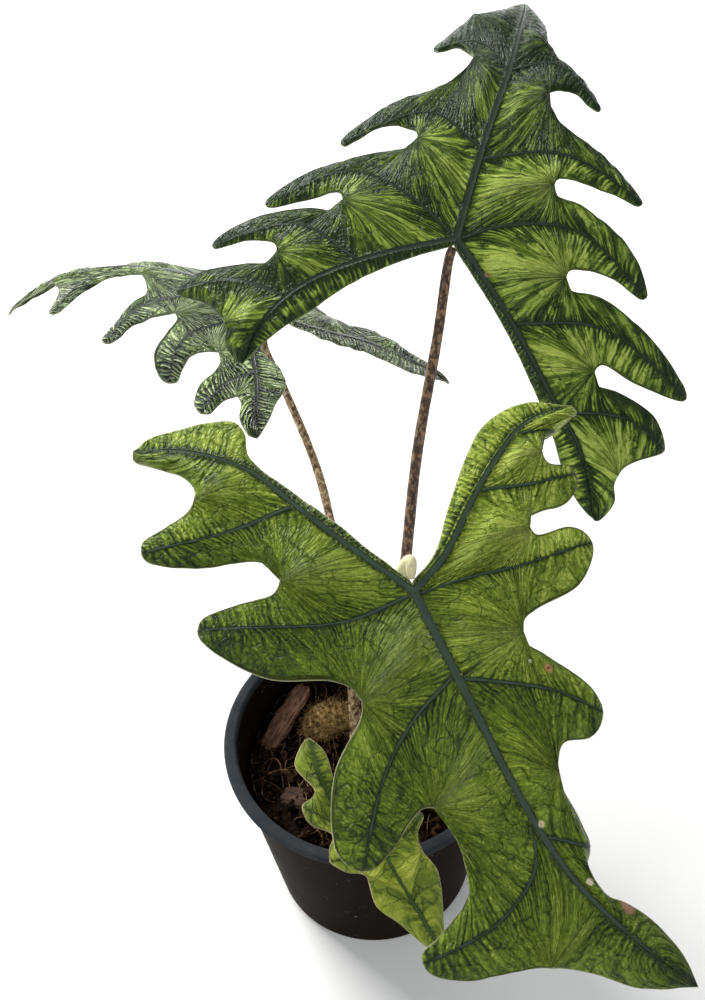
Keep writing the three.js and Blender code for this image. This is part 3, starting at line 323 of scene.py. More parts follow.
FRONT_LEAF = dict(
    at=(17, -72, 287), heading=157, pitch=-28, roll=4,
    bend=dict(tip=10, back=10, left=12, right=12), fold=dict(left=0, right=0),
    rib=dict(width=1.9, height=1.3), groove=0.0, bay=4, blunt=3.2,
    midrib=[(0, 0), (38, 2), (66, 4), (94, 9), (121, 21), (142, 34)],
    left=dict(
        lobes=[
            lobe([(131, 33), (116, 27), (108, 21)], (102, 16), [(94, 16)], (90, 19), [], root=82),
            lobe([(81, 19)], (66, 18), [(59, 24), (61, 33)], (56, 40), [(35, 13), (44, 28)], root=30),
            lobe(
                [(46, 39), (33, 30)], (24, 26), [(19, 34), (17, 51)], (6, 62), [(2, 16), (5, 36)],
                root=0,
            ),
            lobe([(-1, 57)], (-5, 43), [(-9, 49), (-9, 60)], (-17, 68), [(-18, 52)], arm=41),
            lobe([], (-27, 59), [], (-33, 68), [], arm=66),
        ],
        arm=lobe([], (-35, 75), [], (-40, 79), [(-7, 14), (-19, 28.5), (-30, 43.5), (-38, 58)]),
        inner=[(0.13, 0.3), (0.29, 2.8), (0.4, 4.4), (0.56, 7), (0.65, 8), (0.75, 6.6), (0.85, 4.5)],
    ),
    right=dict(
        lobes=[
            lobe(
                [(133, 16), (123, 5)], (115, -7), [(112, -18), (109, -31)], (100, -40),
                [(88, 0), (97, -15)], root=77,
            ),
            lobe(
                [(95, -33), (86, -19), (71, -17)], (60, -21), [(61, -28), (66, -35)], (69, -46),
                [(35, -16), (45, -29), (56, -38)], root=28,
            ),
            lobe(
                [(60, -51), (40, -43)], (24, -28), [(15, -33), (6, -51)], (-16, -64), [(0, -24)],
                root=0,
            ),
            lobe([(-18, -51)], (-19, -36), [(-28, -40), (-34, -57)], (-46, -71), [(-40, -46)], arm=46),
        ],
        arm=lobe(
            [(-50, -62)], (-54, -50), [(-63, -50)], (-80, -61),
            [(-22, -13), (-38, -21.5), (-56, -31), (-68, -43)],
        ),
        inner=[
            (0.15, 0.5), (0.3, 1.7), (0.45, 1.5), (0.6, 1.3), (0.655, 3.5),
            (0.69, 10), (0.73, 12.6), (0.79, 10.4), (0.87, 6.7), (0.95, 4.2),
        ],
    ),
)

SIDE_LEAF = dict(
    at=(-36, 126, 254), heading=-50, pitch=11, roll=34,
    bend=dict(tip=38, back=2, left=-10, right=-3), fold=dict(left=27, right=-3),
    rib=dict(width=1.6, height=1.1), groove=0.25, bay=3, blunt=3,
    midrib=[(0, 0), (50, 0), (100, 0), (150, 0)],
    left=dict(
        lobes=[
            lobe([(128, 5)], (112, 8), [(102, 17)], (87, 42), [(88, 18)], root=78),
            lobe(
                [(85, 24), (78, 9)], (60, 8), [(45, 16), (48, 28), (43, 46)], (34, 62),
                [(28, 16), (38, 30), (38, 48)], root=21,
            ),
            lobe(
                [(33, 45)], (21, 32), [(15, 43), (9, 56)], (-9, 65), [(2, 22), (6, 36), (2, 50)],
                root=0,
            ),
            lobe(
                [(-7, 55), (-4, 46)], (-11, 39), [(-17, 46), (-19, 58)], (-30, 69), [(-26, 52)], arm=47,
            ),
        ],
        arm=lobe([(-32, 61)], (-35, 55), [(-43, 61)], (-54, 62), [(-20, 27), (-31, 38), (-46, 55)]),
        inner=[(0.2, 1), (0.36, 3.5), (0.48, 10), (0.62, 11.5), (0.75, 7.5), (0.9, 4)],
    ),
    right=dict(
        lobes=[
            lobe([(128, -6)], (106, -10), [], (88, -30), [(88, -14)], root=78),
            lobe([(80, -20)], (74, -10), [(60, -16), (50, -32)], (36, -46), [(34, -20)], root=24),
            lobe(
                [(27, -36)], (24, -26), [(15, -34), (8, -44)], (-4, -51), [(4, -20), (2, -36)], root=0,
            ),
            lobe([(-12, -48)], (-17, -39), [(-22, -52)], (-27, -66), [(-32, -50)], arm=50),
        ],
        arm=lobe(
            [(-35, -63)], (-42, -58), [(-58, -67)], (-74, -65),
            [(-12, -6), (-24, -19), (-39, -41), (-58, -52)],
        ),
        inner=[(0.15, 1), (0.35, 6), (0.6, 9), (0.76, 11), (0.88, 5)],
    ),
)

YOUNG_LEAF = dict(
    at=(1, -67, 131), heading=150, pitch=-25, roll=0,
    bend=dict(tip=20, back=10, left=20, right=20), fold=dict(left=0, right=0),
    rib=dict(width=0.9, height=0.6), groove=0.0, bay=1.5, blunt=1.2,
    midrib=[(0, 0), (18, 0), (36, 1), (54, 2)],
    left=dict(
        lobes=[
            lobe([(40, 9), (28, 14.5), (22, 16)], (12, 14), [(6, 17)], (1, 23), [(4, 11)], root=0),
        ],
        arm=lobe([(-3, 18)], (-8, 14), [(-18, 19)], (-31, 16), [(-8, 8), (-20, 13)]),
        inner=[(0.3, 0.8), (0.6, 3), (0.85, 2.5)],
    ),
    right=dict(
        lobes=[
            lobe(
                [(41, -4), (31, -8), (22, -12.5)], (9.5, -11), [(5, -16)], (-2, -19.5), [(2, -10)],
                root=0,
            ),
            lobe([(-7, -17)], (-10, -14.5), [(-19, -19.5)], (-26, -18.5), [(-16, -13)], arm=13),
        ],
        arm=lobe([], (-28, -12), [(-35, -12.5), (-42, -13)], (-49, -2), [(-11, -7), (-30, -7.5)]),
        inner=[(0.3, 0.8), (0.6, 4), (0.85, 4)],
    ),
)

# %% [markdown]
# ## Planning a half blade
# The margin is one line through the drawing's points, rounded at each bay and lobe tip. Lobes grow from
# a path that comes down the midrib's edge from the leaf's tip and turns out along the arm. Each stretch
# of that path belongs half to one lobe and half to the next, with a line from the split to the sinus.

# %% Planning a half blade
PILLOW = 2.2
LOBE_CURL = 4
EDGE_DROOP = 1.6
ROUNDNESS = 0.22
FULL_RIB_WIDTH, FULL_RIB_HEIGHT = 1.9, 1.3
TO_SINUS = 16
TO_TIP = 40
PATH_FINE = 0.33
PATH_COARSE = 1.35
RIB_TAPER = 0.6
RIB_END = 0.12
END_SPLIT = 0.55


def rounding(before, corner, after, radius, side, way):
    """Points beside a corner of the margin that make it round; a corner that bends the other way stays.

    Each lies back along the corner's bisector by part of the radius, and aside by the radius.
    """
    a, c, b = (np.array(point, float) for point in (before, corner, after))
    chord, arm = b - a, c - a
    if side * way * (chord[0] * arm[1] - chord[1] * arm[0]) <= 0:
        return [], []
    to_a, to_b = np.linalg.norm(a - c), np.linalg.norm(b - c)
    opening = (a - c) / to_a + (b - c) / to_b
    sharpness = np.linalg.norm(opening) / 2
    across = np.array([-opening[1], opening[0]]) / (2 * sharpness) * side * way
    reach = min(radius, 0.4 * to_a, 0.4 * to_b)
    near, far = (c + opening * ROUNDNESS * reach + across * step * reach for step in (-1, 1))
    return [near], [far]


def rib_half_width(leaf, fraction):
    """A rib narrows from its root to two fifths, and to nothing over its last eighth."""
    return leaf["rib"]["width"] * (1 - RIB_TAPER * fraction) * np.minimum(1, (1 - fraction) / RIB_END)


def beside_rib(leaf, line, fraction, side):
    """Points on the edge of a rib, off its line by its half width, to the left for side 1."""
    fraction = np.atleast_1d(fraction)
    heading = line.heading(fraction)
    across = np.stack([-heading[:, 1], heading[:, 0]], -1)
    return line.at(fraction) + across * side * rib_half_width(leaf, fraction)[:, None]


def rib_corner(leaf, first, second):
    """Where the edges of two ribs that leave the stalk meet: along the sum of their headings."""
    a, b = first.heading(0), second.heading(0)
    half_angle = math.acos(float(np.clip(a @ b, -1, 1))) / 2
    return (a + b) / np.linalg.norm(a + b) * leaf["rib"]["width"] / math.sin(half_angle)


def plan_half(leaf, midrib, side):
    """The lines of a half blade: its arm, margin, path of roots, and the splits between its lobes."""
    half = leaf["left" if side > 0 else "right"]
    arm = Line([(0, 0), *half["arm"]["bend"], half["arm"]["tip"]])
    ends = [*half["lobes"], half["arm"]]
    outline, marks = [leaf["midrib"][-1]], []
    for i, end in enumerate(ends):
        before = end["before"][-1] if end["before"] else outline[-1]
        near, far = rounding(before, end["sinus"], (end["after"] or [end["tip"]])[0], leaf["bay"], side, 1)
        outline += [*end["before"], *near]
        sinus = len(outline)
        outline += [end["sinus"], *far, *end["after"]]
        following = half["arm"]["bend"][-1]
        if i + 1 < len(ends):
            following = (ends[i + 1]["before"] or [ends[i + 1]["sinus"]])[0]
        front, rear = rounding(outline[-1], end["tip"], following, leaf["blunt"], side, -1)
        outline += front
        marks.append((sinus, len(outline)))
        outline += [end["tip"], *(rear if i + 1 < len(ends) else [])]
    down, out = midrib.length, arm.length
    roots = [down + (lobe["arm"] if "arm" in lobe else -lobe["root"]) for lobe in half["lobes"]]
    stops = [0, *roots, down + out]
    splits = [roots[0] * END_SPLIT]
    for low, high in zip(stops[1:-2], stops[2:-1]):
        splits.append(down if low < down - 1e-6 and high > down + 1e-6 else (low + high) / 2)
    splits.append(stops[-1] - (stops[-1] - stops[-2]) * END_SPLIT)
    return dict(
        side=side, half=half, arm=arm, ends=ends, margin=Line(outline), marks=marks, down=down, out=out,
        roots=np.array(roots), splits=np.array(splits), corner=rib_corner(leaf, midrib, arm),
    )


def path_at(leaf, midrib, plan, q):
    """Points of the path of roots: q runs from 0 at the leaf's tip, past the stalk, to the arm's tip."""
    q = np.atleast_1d(np.asarray(q, float))
    distance = np.abs(q - plan["down"])
    points = np.empty((len(q), 2))
    for chosen, line, length, side in (
        (q < plan["down"], midrib, plan["down"], plan["side"]),
        (q >= plan["down"], plan["arm"], plan["out"], -plan["side"]),
    ):
        weight = np.maximum(0, 1 - distance[chosen] / (3 * leaf["rib"]["width"]))[:, None]
        shift = plan["corner"] - beside_rib(leaf, line, 0, side)[0]
        fraction = np.minimum(1, distance[chosen] / length)
        points[chosen] = beside_rib(leaf, line, fraction, side) + shift * weight
    return points


def spaced(knots, roots):
    """Distances through all knots, packed closer beside the roots of veins, wider between them."""
    knots = np.unique(knots)
    places = [knots[:1]]
    for low, high in zip(knots[:-1], knots[1:]):
        fine = np.linspace(low, high, 200)
        off = np.min(np.abs(fine[:, None] - np.asarray(roots)[None]), axis=1)
        step = PATH_FINE + (PATH_COARSE - PATH_FINE) * smooth(off / 5)
        count = np.concatenate([[0], np.cumsum((high - low) / 199 / step[:-1])])
        cells = max(1, round(count[-1]))
        places.append(np.interp(np.linspace(0, count[-1], cells + 1)[1:], count, fine))
    return np.concatenate(places)


print("a lobe has", TO_SINUS + TO_TIP, "columns from its root to its tip")

# %% [markdown]
# ## Filling a half blade
# Each half lobe is a four-sided patch: its vein is the bottom, the line to the sinus and then the margin
# are the top, and the path of roots is the left side. Points between are blended from the four sides.
# The blade swells between veins and curls down towards each tip. Along a vein runs a low round ridge,
# deeper beneath, and fine side veins press shallow waves into the blade, at right angles to the vein.

# %% Filling a half blade
VEIN_RIDGE = 0.42
VEIN_WIDTH = 0.9
VEIN_DEPTH = 0.8
VEIN_TAPER, DEPTH_TAPER = 0.65, 0.7
SIDE_VEIN_STEP = 3.1
SIDE_VEIN_WAVE = 0.24
CROWDING = 1.35
RAYS_APART = 170
SIDES_APART = 61
FAN_BOW = 0.8
REACHES = np.linspace(0.2, 0.75, 61)
END_RAYS_SHRINK = 0.6
PLAIN_BLADE = dict(bright=0.0, ridge=0.0, depth=0.0, rib=0.0, spread=1.0, hind=0.0)


def crowded(x, power=CROWDING):
    """Even fractions packed closer towards the end: one minus the power of what is left."""
    return 1 - (1 - x) ** power


def crowded_both(x):
    """Even fractions packed closer towards both ends, by part of a cosine."""
    return 0.35 * x + 0.65 * (1 - np.cos(np.pi * x)) / 2


def sinus_lift(w):
    """Swelling of the blade along a patch that ends at a sinus: an arch that starts level with the rib."""
    return PILLOW * np.sin(np.pi * (0.15 + 0.7 * w)) * smooth(2.4 * w)


class Drawing:
    """The flat patches of one blade with what each point knows, until they are joined."""

    def __init__(self):
        """Starts empty; parts are (points, triangles, what the points know)."""
        self.parts = []

    def add(self, flat, **known):
        """A grid of flat points; known are numbers for the whole grid or for each of its points."""
        shape, known = flat.shape[:2], {**PLAIN_BLADE, **known}
        columns = {key: np.broadcast_to(value, shape).reshape(-1) for key, value in known.items()}
        cells = grid_cells(*shape)
        points = flat.reshape(-1, 2)
        a, b, c = (points[cells[:, k]] for k in range(3))
        area = np.sum((b - a)[:, 0] * (c - a)[:, 1] - (b - a)[:, 1] * (c - a)[:, 0])
        self.parts.append((points, cells if area > 0 else cells[:, [0, 2, 1]], columns))


def blended(bottom, top, left, rows):
    """A patch between a bottom and a top row that meet at the far end, bowed by its left side."""
    v = rows[None, :, None]
    points = bottom[:, None] * (1 - v) + top[:, None] * v
    bow = left - (left[:1] + (left[-1:] - left[:1]) * rows[:, None])
    points = points + bow[None] * (1 - np.linspace(0, 1, len(bottom)))[:, None, None]
    points[-1] = bottom[-1]
    return points


def side_veins(ray, off, height, taper):
    """Shallow waves across the rays of side veins, 3 mm apart; they fade at the vein and the margin."""
    window = smooth(off / 2.5) * smooth((height - off) / 3)
    wobble = 0.5 * np.sin(ray / 6.5 + off / 4)
    return SIDE_VEIN_WAVE * taper * window * np.sin(2 * np.pi * (ray - wobble) / SIDE_VEIN_STEP)


def fan(w, v, length):
    """Which ray of a sinus passes through a point: 0 on the line to it, twice length at the far side.

    w runs from the parent rib to the sinus and v from the vein to the sinus line. The rays are angles at
    the sinus, bowed by a power so that they meet the vein more squarely.
    """
    angle = np.arctan2((1 - v) ** FAN_BOW + 1e-9, (1 - w) ** FAN_BOW + 1e-9)
    return length * angle / (np.pi / 4)


def margin_part(plan, first, last, fractions):
    """Points of the margin between two of its knots, evenly by the fractions of the length between."""
    margin = plan["margin"]
    low, high = margin.marks[first], margin.marks[last]
    return margin.at((low + (high - low) * fractions) / margin.length)


def stretch(samples, low, high):
    """The samples from low to high, in that order."""
    chosen = samples[(samples > min(low, high) - 1e-3) & (samples < max(low, high) + 1e-3)]
    return chosen if low < high else chosen[::-1]


def fill_lobes(drawing, leaf, midrib, plan, samples, sinus_lines):
    """Two patches for each lobe, one on each side of its vein, whose tops are sinus line and margin."""
    side, ends, splits = plan["side"], plan["ends"], plan["splits"]
    low_relief = leaf["rib"]["height"] / FULL_RIB_HEIGHT
    to_sinus, to_tip = np.linspace(0, 1, TO_SINUS + 1), np.linspace(0, 1, TO_TIP + 1)
    index = np.linspace(0, 1, TO_SINUS + TO_TIP + 1)[:, None]
    beyond = np.concatenate([to_sinus * 0, to_tip[1:]])[:, None]
    w = np.concatenate([to_sinus, to_tip[1:] * 0 + 1])[:, None]
    for i, lobe in enumerate(plan["half"]["lobes"]):
        root = path_at(leaf, midrib, plan, plan["roots"][i])[0]
        vein = Line([root, *lobe["bend"], lobe["tip"]])
        middle = (np.array(ends[i]["sinus"]) + np.array(ends[i + 1]["sinus"])) / 2
        reach = REACHES[np.argmin(np.linalg.norm(vein.at(REACHES) - middle, axis=1))]
        fractions = np.concatenate([reach * to_sinus, reach + (1 - reach) * crowded(to_tip)[1:]])
        bottom = vein.at(fractions)
        for step in (0, 1):
            sinus, tip = plan["marks"][i + step][0], plan["marks"][i][1]
            beyond_sinus = margin_part(plan, sinus, tip, crowded_both(to_tip))[1:]
            top = np.vstack([sinus_lines[i + step], beyond_sinus])
            q = stretch(samples, plan["roots"][i], splits[i + step])
            rows = (q - q[0]) / (q[-1] - q[0])
            flat = blended(bottom, top, path_at(leaf, midrib, plan, q), rows)
            v, rise = rows[None], smooth(rows[None])
            height = np.linalg.norm(top - bottom, axis=1)[:, None]
            off = height * v
            along = (fractions * vein.length)[:, None]
            taper = 1 - VEIN_TAPER * fractions[:, None]
            lift = sinus_lift(w) * rise * (1 - beyond) ** 2
            lift = lift - EDGE_DROOP * v**2 * np.sin(np.pi * beyond) - LOBE_CURL * beyond**2
            length = reach * vein.length
            sense = 1 if step else -1
            ray = sense * (fan(w, v, length) + np.maximum(0, along - length))
            ray = ray + RAYS_APART * (i + step) + SIDES_APART * side
            waves = side_veins(ray, off, height, low_relief)
            width = VEIN_WIDTH * leaf["rib"]["width"] / FULL_RIB_WIDTH * taper
            near_vein = np.exp(-((off / width) ** 2))
            open_blade = rise * (1 - 0.8 * smooth((beyond - 0.15) / 0.6))
            drawing.add(
                flat,
                lift=lift + waves,
                ridge=VEIN_RIDGE * low_relief * taper * near_vein,
                depth=VEIN_DEPTH * low_relief * (1 - DEPTH_TAPER * index) * near_vein,
                ray=ray,
                off=off,
                bright=open_blade,
                rib=smooth(1.6 - off / (0.68 * width)) * smooth((1.04 - fractions[:, None]) / 0.12),
                spread=smooth((np.hypot(1 - w, 1 - v) + 4 * beyond) / 0.5),
                hind=float(step == 1),
            )


def fill_ends(drawing, leaf, midrib, plan, samples, sinus_lines):
    """The patches beside the midrib's end and the arm's; gives their samples and lowest rows by name."""
    side, ends, splits = plan["side"], plan["ends"], plan["splits"]
    low_relief = leaf["rib"]["height"] / FULL_RIB_HEIGHT
    to_sinus = np.linspace(0, 1, TO_SINUS + 1)
    rib_rows = {}
    for name, end, last in (("midrib", 0, 0), ("arm", -1, plan["down"] + plan["out"])):
        q = stretch(samples, splits[end], last)
        b = crowded(np.abs((q - q[0]) / (q[-1] - q[0])), 1 / CROWDING)
        bottom = path_at(leaf, midrib, plan, q)
        sinus, tip = plan["marks"][end]
        top = margin_part(plan, sinus, 0 if name == "midrib" else tip, crowded_both(b))
        bottom[-1] = top[-1]
        rib_rows[name] = (q, bottom)
        flat = blended(bottom, top, sinus_lines[end], to_sinus)
        u, v = b[:, None], to_sinus[None]
        height = np.linalg.norm(top - bottom, axis=1)[:, None]
        lift = sinus_lift(v) * (1 - u) ** 2 - EDGE_DROOP * v**2 * np.sin(np.pi * u) - LOBE_CURL * u**2
        distance = np.abs(q - plan["down"])[:, None]
        distance = distance - distance[0]
        sense = 1 if name == "midrib" else -1
        last_ray = RAYS_APART * (0 if name == "midrib" else len(ends) - 1) + SIDES_APART * side
        ray = sense * distance * (1 - END_RAYS_SHRINK * v) + last_ray
        drawing.add(
            flat,
            lift=lift + side_veins(ray, height * v, height, low_relief),
            ray=ray,
            off=height * v,
            bright=0.75 * smooth(v) * (1 - u) ** 0.7,
            hind=float(name == "arm"),
        )
    return rib_rows


def fill_half(drawing, leaf, midrib, plan, samples):
    """A half blade: the lines from its splits to its sinuses, then all lobes, then both rib ends."""
    sinus_lines = []
    for split, end in zip(plan["splits"], plan["ends"]):
        start = path_at(leaf, midrib, plan, split)
        way = np.array(end["sinus"], float) - start
        sinus_lines.append(start + way * np.linspace(0, 1, TO_SINUS + 1)[:, None])
    fill_lobes(drawing, leaf, midrib, plan, samples, sinus_lines)
    return fill_ends(drawing, leaf, midrib, plan, samples, sinus_lines)


print("side veins are", SIDE_VEIN_STEP, "mm apart")

# %% [markdown]
# ## Ribs
# The midrib and the arms are the thick ribs of the blade. Each is a band between its line and its two
# edges. On the upper face it is a smooth round ridge, on the top and side leaf with a shallow groove
# along its middle, and beneath it stands out further. Inside each arm runs a strip of wavy blade.

# %% Ribs
RIB_ROWS = 7
STRIP_ROWS = 9
RIB_TOP = 0.62
RIB_COLOURED, ARM_COLOURED = 1.02, 0.84
RIB_RAY, STRIP_RAY = 900, 700
INNER_EDGE = 0.4
STRIP_RELIEF, STRIP_BRIGHT, STRIP_END = 0.7, 0.55, 0.02
RIB_SLIMS, GROOVE_WIDTH, ROUND_FOOT = 0.75, 0.42, 0.25


def end_curl(fraction):
    """How far a rib's last three tenths curl down: by the square of the fraction past seven tenths."""
    return -LOBE_CURL * np.maximum(0, (fraction - 0.7) / 0.3) ** 2


def rib_band(drawing, leaf, line, fractions, edge, edge_lift, coloured):
    """A band from a rib's line to its edge: a quarter round, grooved at w = 0, coloured to a width."""
    w = np.linspace(0, 1, RIB_ROWS)[None]
    f = fractions[:, None]
    middle = line.at(fractions)
    flat = middle[:, None] + (edge - middle)[:, None] * w[..., None]
    round_top = np.sqrt(np.maximum(0, 1 - w**2)) * smooth((1 - w) / ROUND_FOOT)
    groove = leaf["groove"] * np.exp(-((w / GROOVE_WIDTH) ** 2))
    size = leaf["rib"]["height"] * (1 - RIB_SLIMS * f)
    drawing.add(
        flat,
        lift=end_curl(f) * (1 - w) + edge_lift[:, None] * w,
        ridge=RIB_TOP * size * (round_top - groove),
        depth=size * round_top,
        ray=f * line.length + RIB_RAY,
        off=w * rib_half_width(leaf, fractions)[:, None],
        rib=smooth((coloured - w) / 0.5) * smooth((1.02 - f) / 0.06),
    )


def fill_strip(drawing, plan, fractions, near):
    """The blade inside an arm: from the rib's edge inwards, as wide as the drawing says plus an edge."""
    out, arm = plan["out"], plan["arm"]
    heading = arm.heading(fractions)
    inward = np.stack([-heading[:, 1], heading[:, 0]], -1) * plan["side"]
    widths = Line([(f * out, wide) for f, wide in [(0, 0), *plan["half"]["inner"], (1, 0)]])
    places = np.maximum.accumulate(widths.points[:, 0]) / out
    width = np.maximum(0, np.interp(fractions, places, widths.points[:, 1])) + INNER_EDGE
    width *= smooth(fractions / STRIP_END) * smooth((1 - fractions) / STRIP_END)
    v, f = np.linspace(0, 1, STRIP_ROWS)[None], fractions[:, None]
    off = v * width[:, None]
    waves = side_veins(f * out, off, width[:, None], STRIP_RELIEF)
    drawing.add(
        near[:, None] + inward[:, None] * off[..., None],
        lift=end_curl(f) - EDGE_DROOP * v**2 * np.sin(np.pi * f) + waves,
        ray=f * out + STRIP_RAY,
        off=off,
        bright=STRIP_BRIGHT * smooth(off / 4),
        hind=1.0,
    )


def fill_ribs(drawing, leaf, midrib, plans, tips, samples):
    """The bands on both sides of the midrib and of each arm, and the strips inside the arms."""
    back = rib_corner(leaf, plans[0]["arm"], plans[1]["arm"])
    for plan, tip, q in zip(plans, tips, samples):
        down, side, arm = plan["down"], plan["side"], plan["arm"]
        on_midrib, on_arm = q[q < down + 1e-3], q[q > down - 1e-3]
        for name, chosen, line, length, coloured in (
            ("midrib", on_midrib[::-1], midrib, down, RIB_COLOURED),
            ("arm", on_arm, arm, plan["out"], ARM_COLOURED),
        ):
            edge = path_at(leaf, midrib, plan, chosen)
            edge[-1] = tip[name][1][-1]
            fractions = np.abs(chosen - down) / length
            start = abs(tip[name][0][0] - down) / length
            b = crowded(np.clip((fractions - start) / (1 - start), 0, 1), 1 / CROWDING)
            rib_band(drawing, leaf, line, fractions, edge, -LOBE_CURL * b**2, coloured)
        fractions = (on_arm - down) / plan["out"]
        near = beside_rib(leaf, arm, fractions, side)
        shift = back - near[0]
        near += shift * np.maximum(0, 1 - fractions * plan["out"] / (3 * leaf["rib"]["width"]))[:, None]
        near[-1] = arm.at(1.0)
        rib_band(drawing, leaf, arm, fractions, near, end_curl(fractions), ARM_COLOURED)
        fill_strip(drawing, plan, fractions, near)


print("each half rib is", RIB_ROWS, "rows wide")

# %% [markdown]
# ## From the drawing to a blade
# The flat sheet is bent like paper round two gentle arcs, one along the midrib and one to each side,
# and turned to where the leaf hangs. The upper and lower faces share the sheet's triangles. The margin
# gets a thin rounded rim, a little proud, as these leaves have.

# %% From the drawing to a blade
THICK = 0.78
THIN_EDGE = 0.5
RIM_BULGE = 0.22
RIM_BEAD = 0.1
EDGE_CRINKLE = 0.55
CRINKLE = 0.16
RIM_UNDER = 0.3


def leaf_axes(leaf):
    """The leaf's own directions: towards its tip, to its left, and up from its face."""
    h, p, r = (math.radians(leaf[key]) for key in ("heading", "pitch", "roll"))
    ahead = np.array([math.sin(h) * math.cos(p), math.cos(h) * math.cos(p), math.sin(p)])
    level = np.array([-math.cos(h), math.sin(h), 0])
    upright = np.cross(ahead, level)
    return ahead, level * math.cos(r) + upright * math.sin(r), upright * math.cos(r) - level * math.sin(r)


def arc(distance, start, rate):
    """How far along and how far down an arc comes after that distance, from a start angle."""
    rate = np.where(np.abs(rate) < 1e-9, 1e-9, rate)
    end = start + rate * distance
    return (np.sin(end) - np.sin(start)) / rate, (np.cos(start) - np.cos(end)) / rate


def bend_into_place(leaf, flat, lift):
    """Each flat point carried along the two arcs, then raised by lift along the bent face's own up."""
    ahead, left, up = leaf_axes(leaf)
    s, t = flat.T
    bend, fold = leaf["bend"], leaf["fold"]
    along = np.radians(np.where(s > 0, bend["tip"], bend["back"])) / 100
    beside = np.radians(np.where(t > 0, bend["left"], bend["right"])) / 100
    forward, drop = arc(np.abs(s), 0, along)
    across, fall = arc(np.abs(t), np.radians(np.where(t > 0, fold["left"], fold["right"])), beside)
    angle = -along * s
    normal = up * np.cos(angle)[:, None] - ahead * np.sin(angle)[:, None]
    return (
        np.array(leaf["at"], float)
        + ahead * (np.sign(s) * forward)[:, None]
        - up * drop[:, None]
        + left * (np.sign(t) * across)[:, None]
        + normal * (lift - fall)[:, None]
    )


def nearest_distance(points, others, chunk=2000):
    """Distance from each point to the nearest of the others, a chunk of whole rows at a time."""
    found = []
    for start in range(0, len(points), chunk):
        part = points[start:start + chunk, None] - others[None]
        found.append(np.sqrt(np.min(np.einsum("ijk,ijk->ij", part, part), axis=1)))
    return np.concatenate(found)


def open_edges(triangles):
    """Edges that belong to one triangle only, in that triangle's direction."""
    directed = np.concatenate([triangles[:, [0, 1]], triangles[:, [1, 2]], triangles[:, [2, 0]]])
    undirected = np.sort(directed, axis=1)
    _, where, count = np.unique(undirected, axis=0, return_inverse=True, return_counts=True)
    return directed[count[where.reshape(-1)] == 1]


def draw_blade(leaf):
    """The joined flat sheet of a leaf: points, triangles, what each point knows, and corners' places."""
    midrib = Line(leaf["midrib"])
    plans = [plan_half(leaf, midrib, side) for side in (1, -1)]
    down = midrib.length
    shared = np.concatenate([[0, down]] + [plan[key] for plan in plans for key in ("roots", "splits")])
    roots = np.concatenate([plan["roots"] for plan in plans])
    on_midrib = spaced(shared[shared <= down + 1e-6], roots[roots <= down + 1e-6])
    drawing, samples = Drawing(), []
    for plan in plans:
        own = np.concatenate([[down, down + plan["out"]], plan["roots"], plan["splits"]])
        on_arm = spaced(own[own >= down - 1e-6], plan["roots"][plan["roots"] >= down - 1e-6])
        samples.append(np.concatenate([on_midrib[:-1], on_arm]))
    tips = [fill_half(drawing, leaf, midrib, plan, q) for plan, q in zip(plans, samples)]
    fill_ribs(drawing, leaf, midrib, plans, tips, samples)
    points, triangles = gather(drawing.parts)
    known = {key: np.concatenate([part[2][key] for part in drawing.parts]) for key in drawing.parts[0][2]}
    first, where, joined, whole = join_near(points, triangles)
    corners = np.stack([known["ray"], known["off"]], -1)[triangles[whole]]
    marks = {}
    for key in ("lift", "bright", "hind", "spread"):
        marks[key] = np.bincount(where, known[key]) / np.bincount(where)
    for key in ("ridge", "depth", "rib"):
        marks[key] = np.zeros(len(first))
        np.maximum.at(marks[key], where, known[key])
    flat, joined = points[first], joined[whole]
    a, b, c = (flat[joined[:, k]] for k in range(3))
    area = (b - a)[:, 0] * (c - a)[:, 1] - (b - a)[:, 1] * (c - a)[:, 0]
    print(f"  {int(np.sum(area < -1e-3))} of {len(area)} flat triangles are folded over")
    return flat, joined, marks, corners


def summed_at(corners, vectors, count):
    """At each point, the sum of the vectors of all the faces or edges that have it as a corner."""
    each = np.repeat(vectors, corners.shape[1], axis=0)
    return np.stack([np.bincount(corners.ravel(), column, count) for column in each.T], -1)


def rim_band(edges, rim_of, count):
    """Triangles from the upper face's edge over the rim's points to the lower face's edge."""
    rim_number = np.zeros(count, int)
    rim_number[rim_of] = 2 * count + np.arange(len(rim_of))
    p, q = edges.T
    return np.concatenate([
        np.stack([p, rim_number[p], rim_number[q]], -1),
        np.stack([p, rim_number[q], q], -1),
        np.stack([rim_number[p], count + p, count + q], -1),
        np.stack([rim_number[p], count + q, rim_number[q]], -1),
    ])


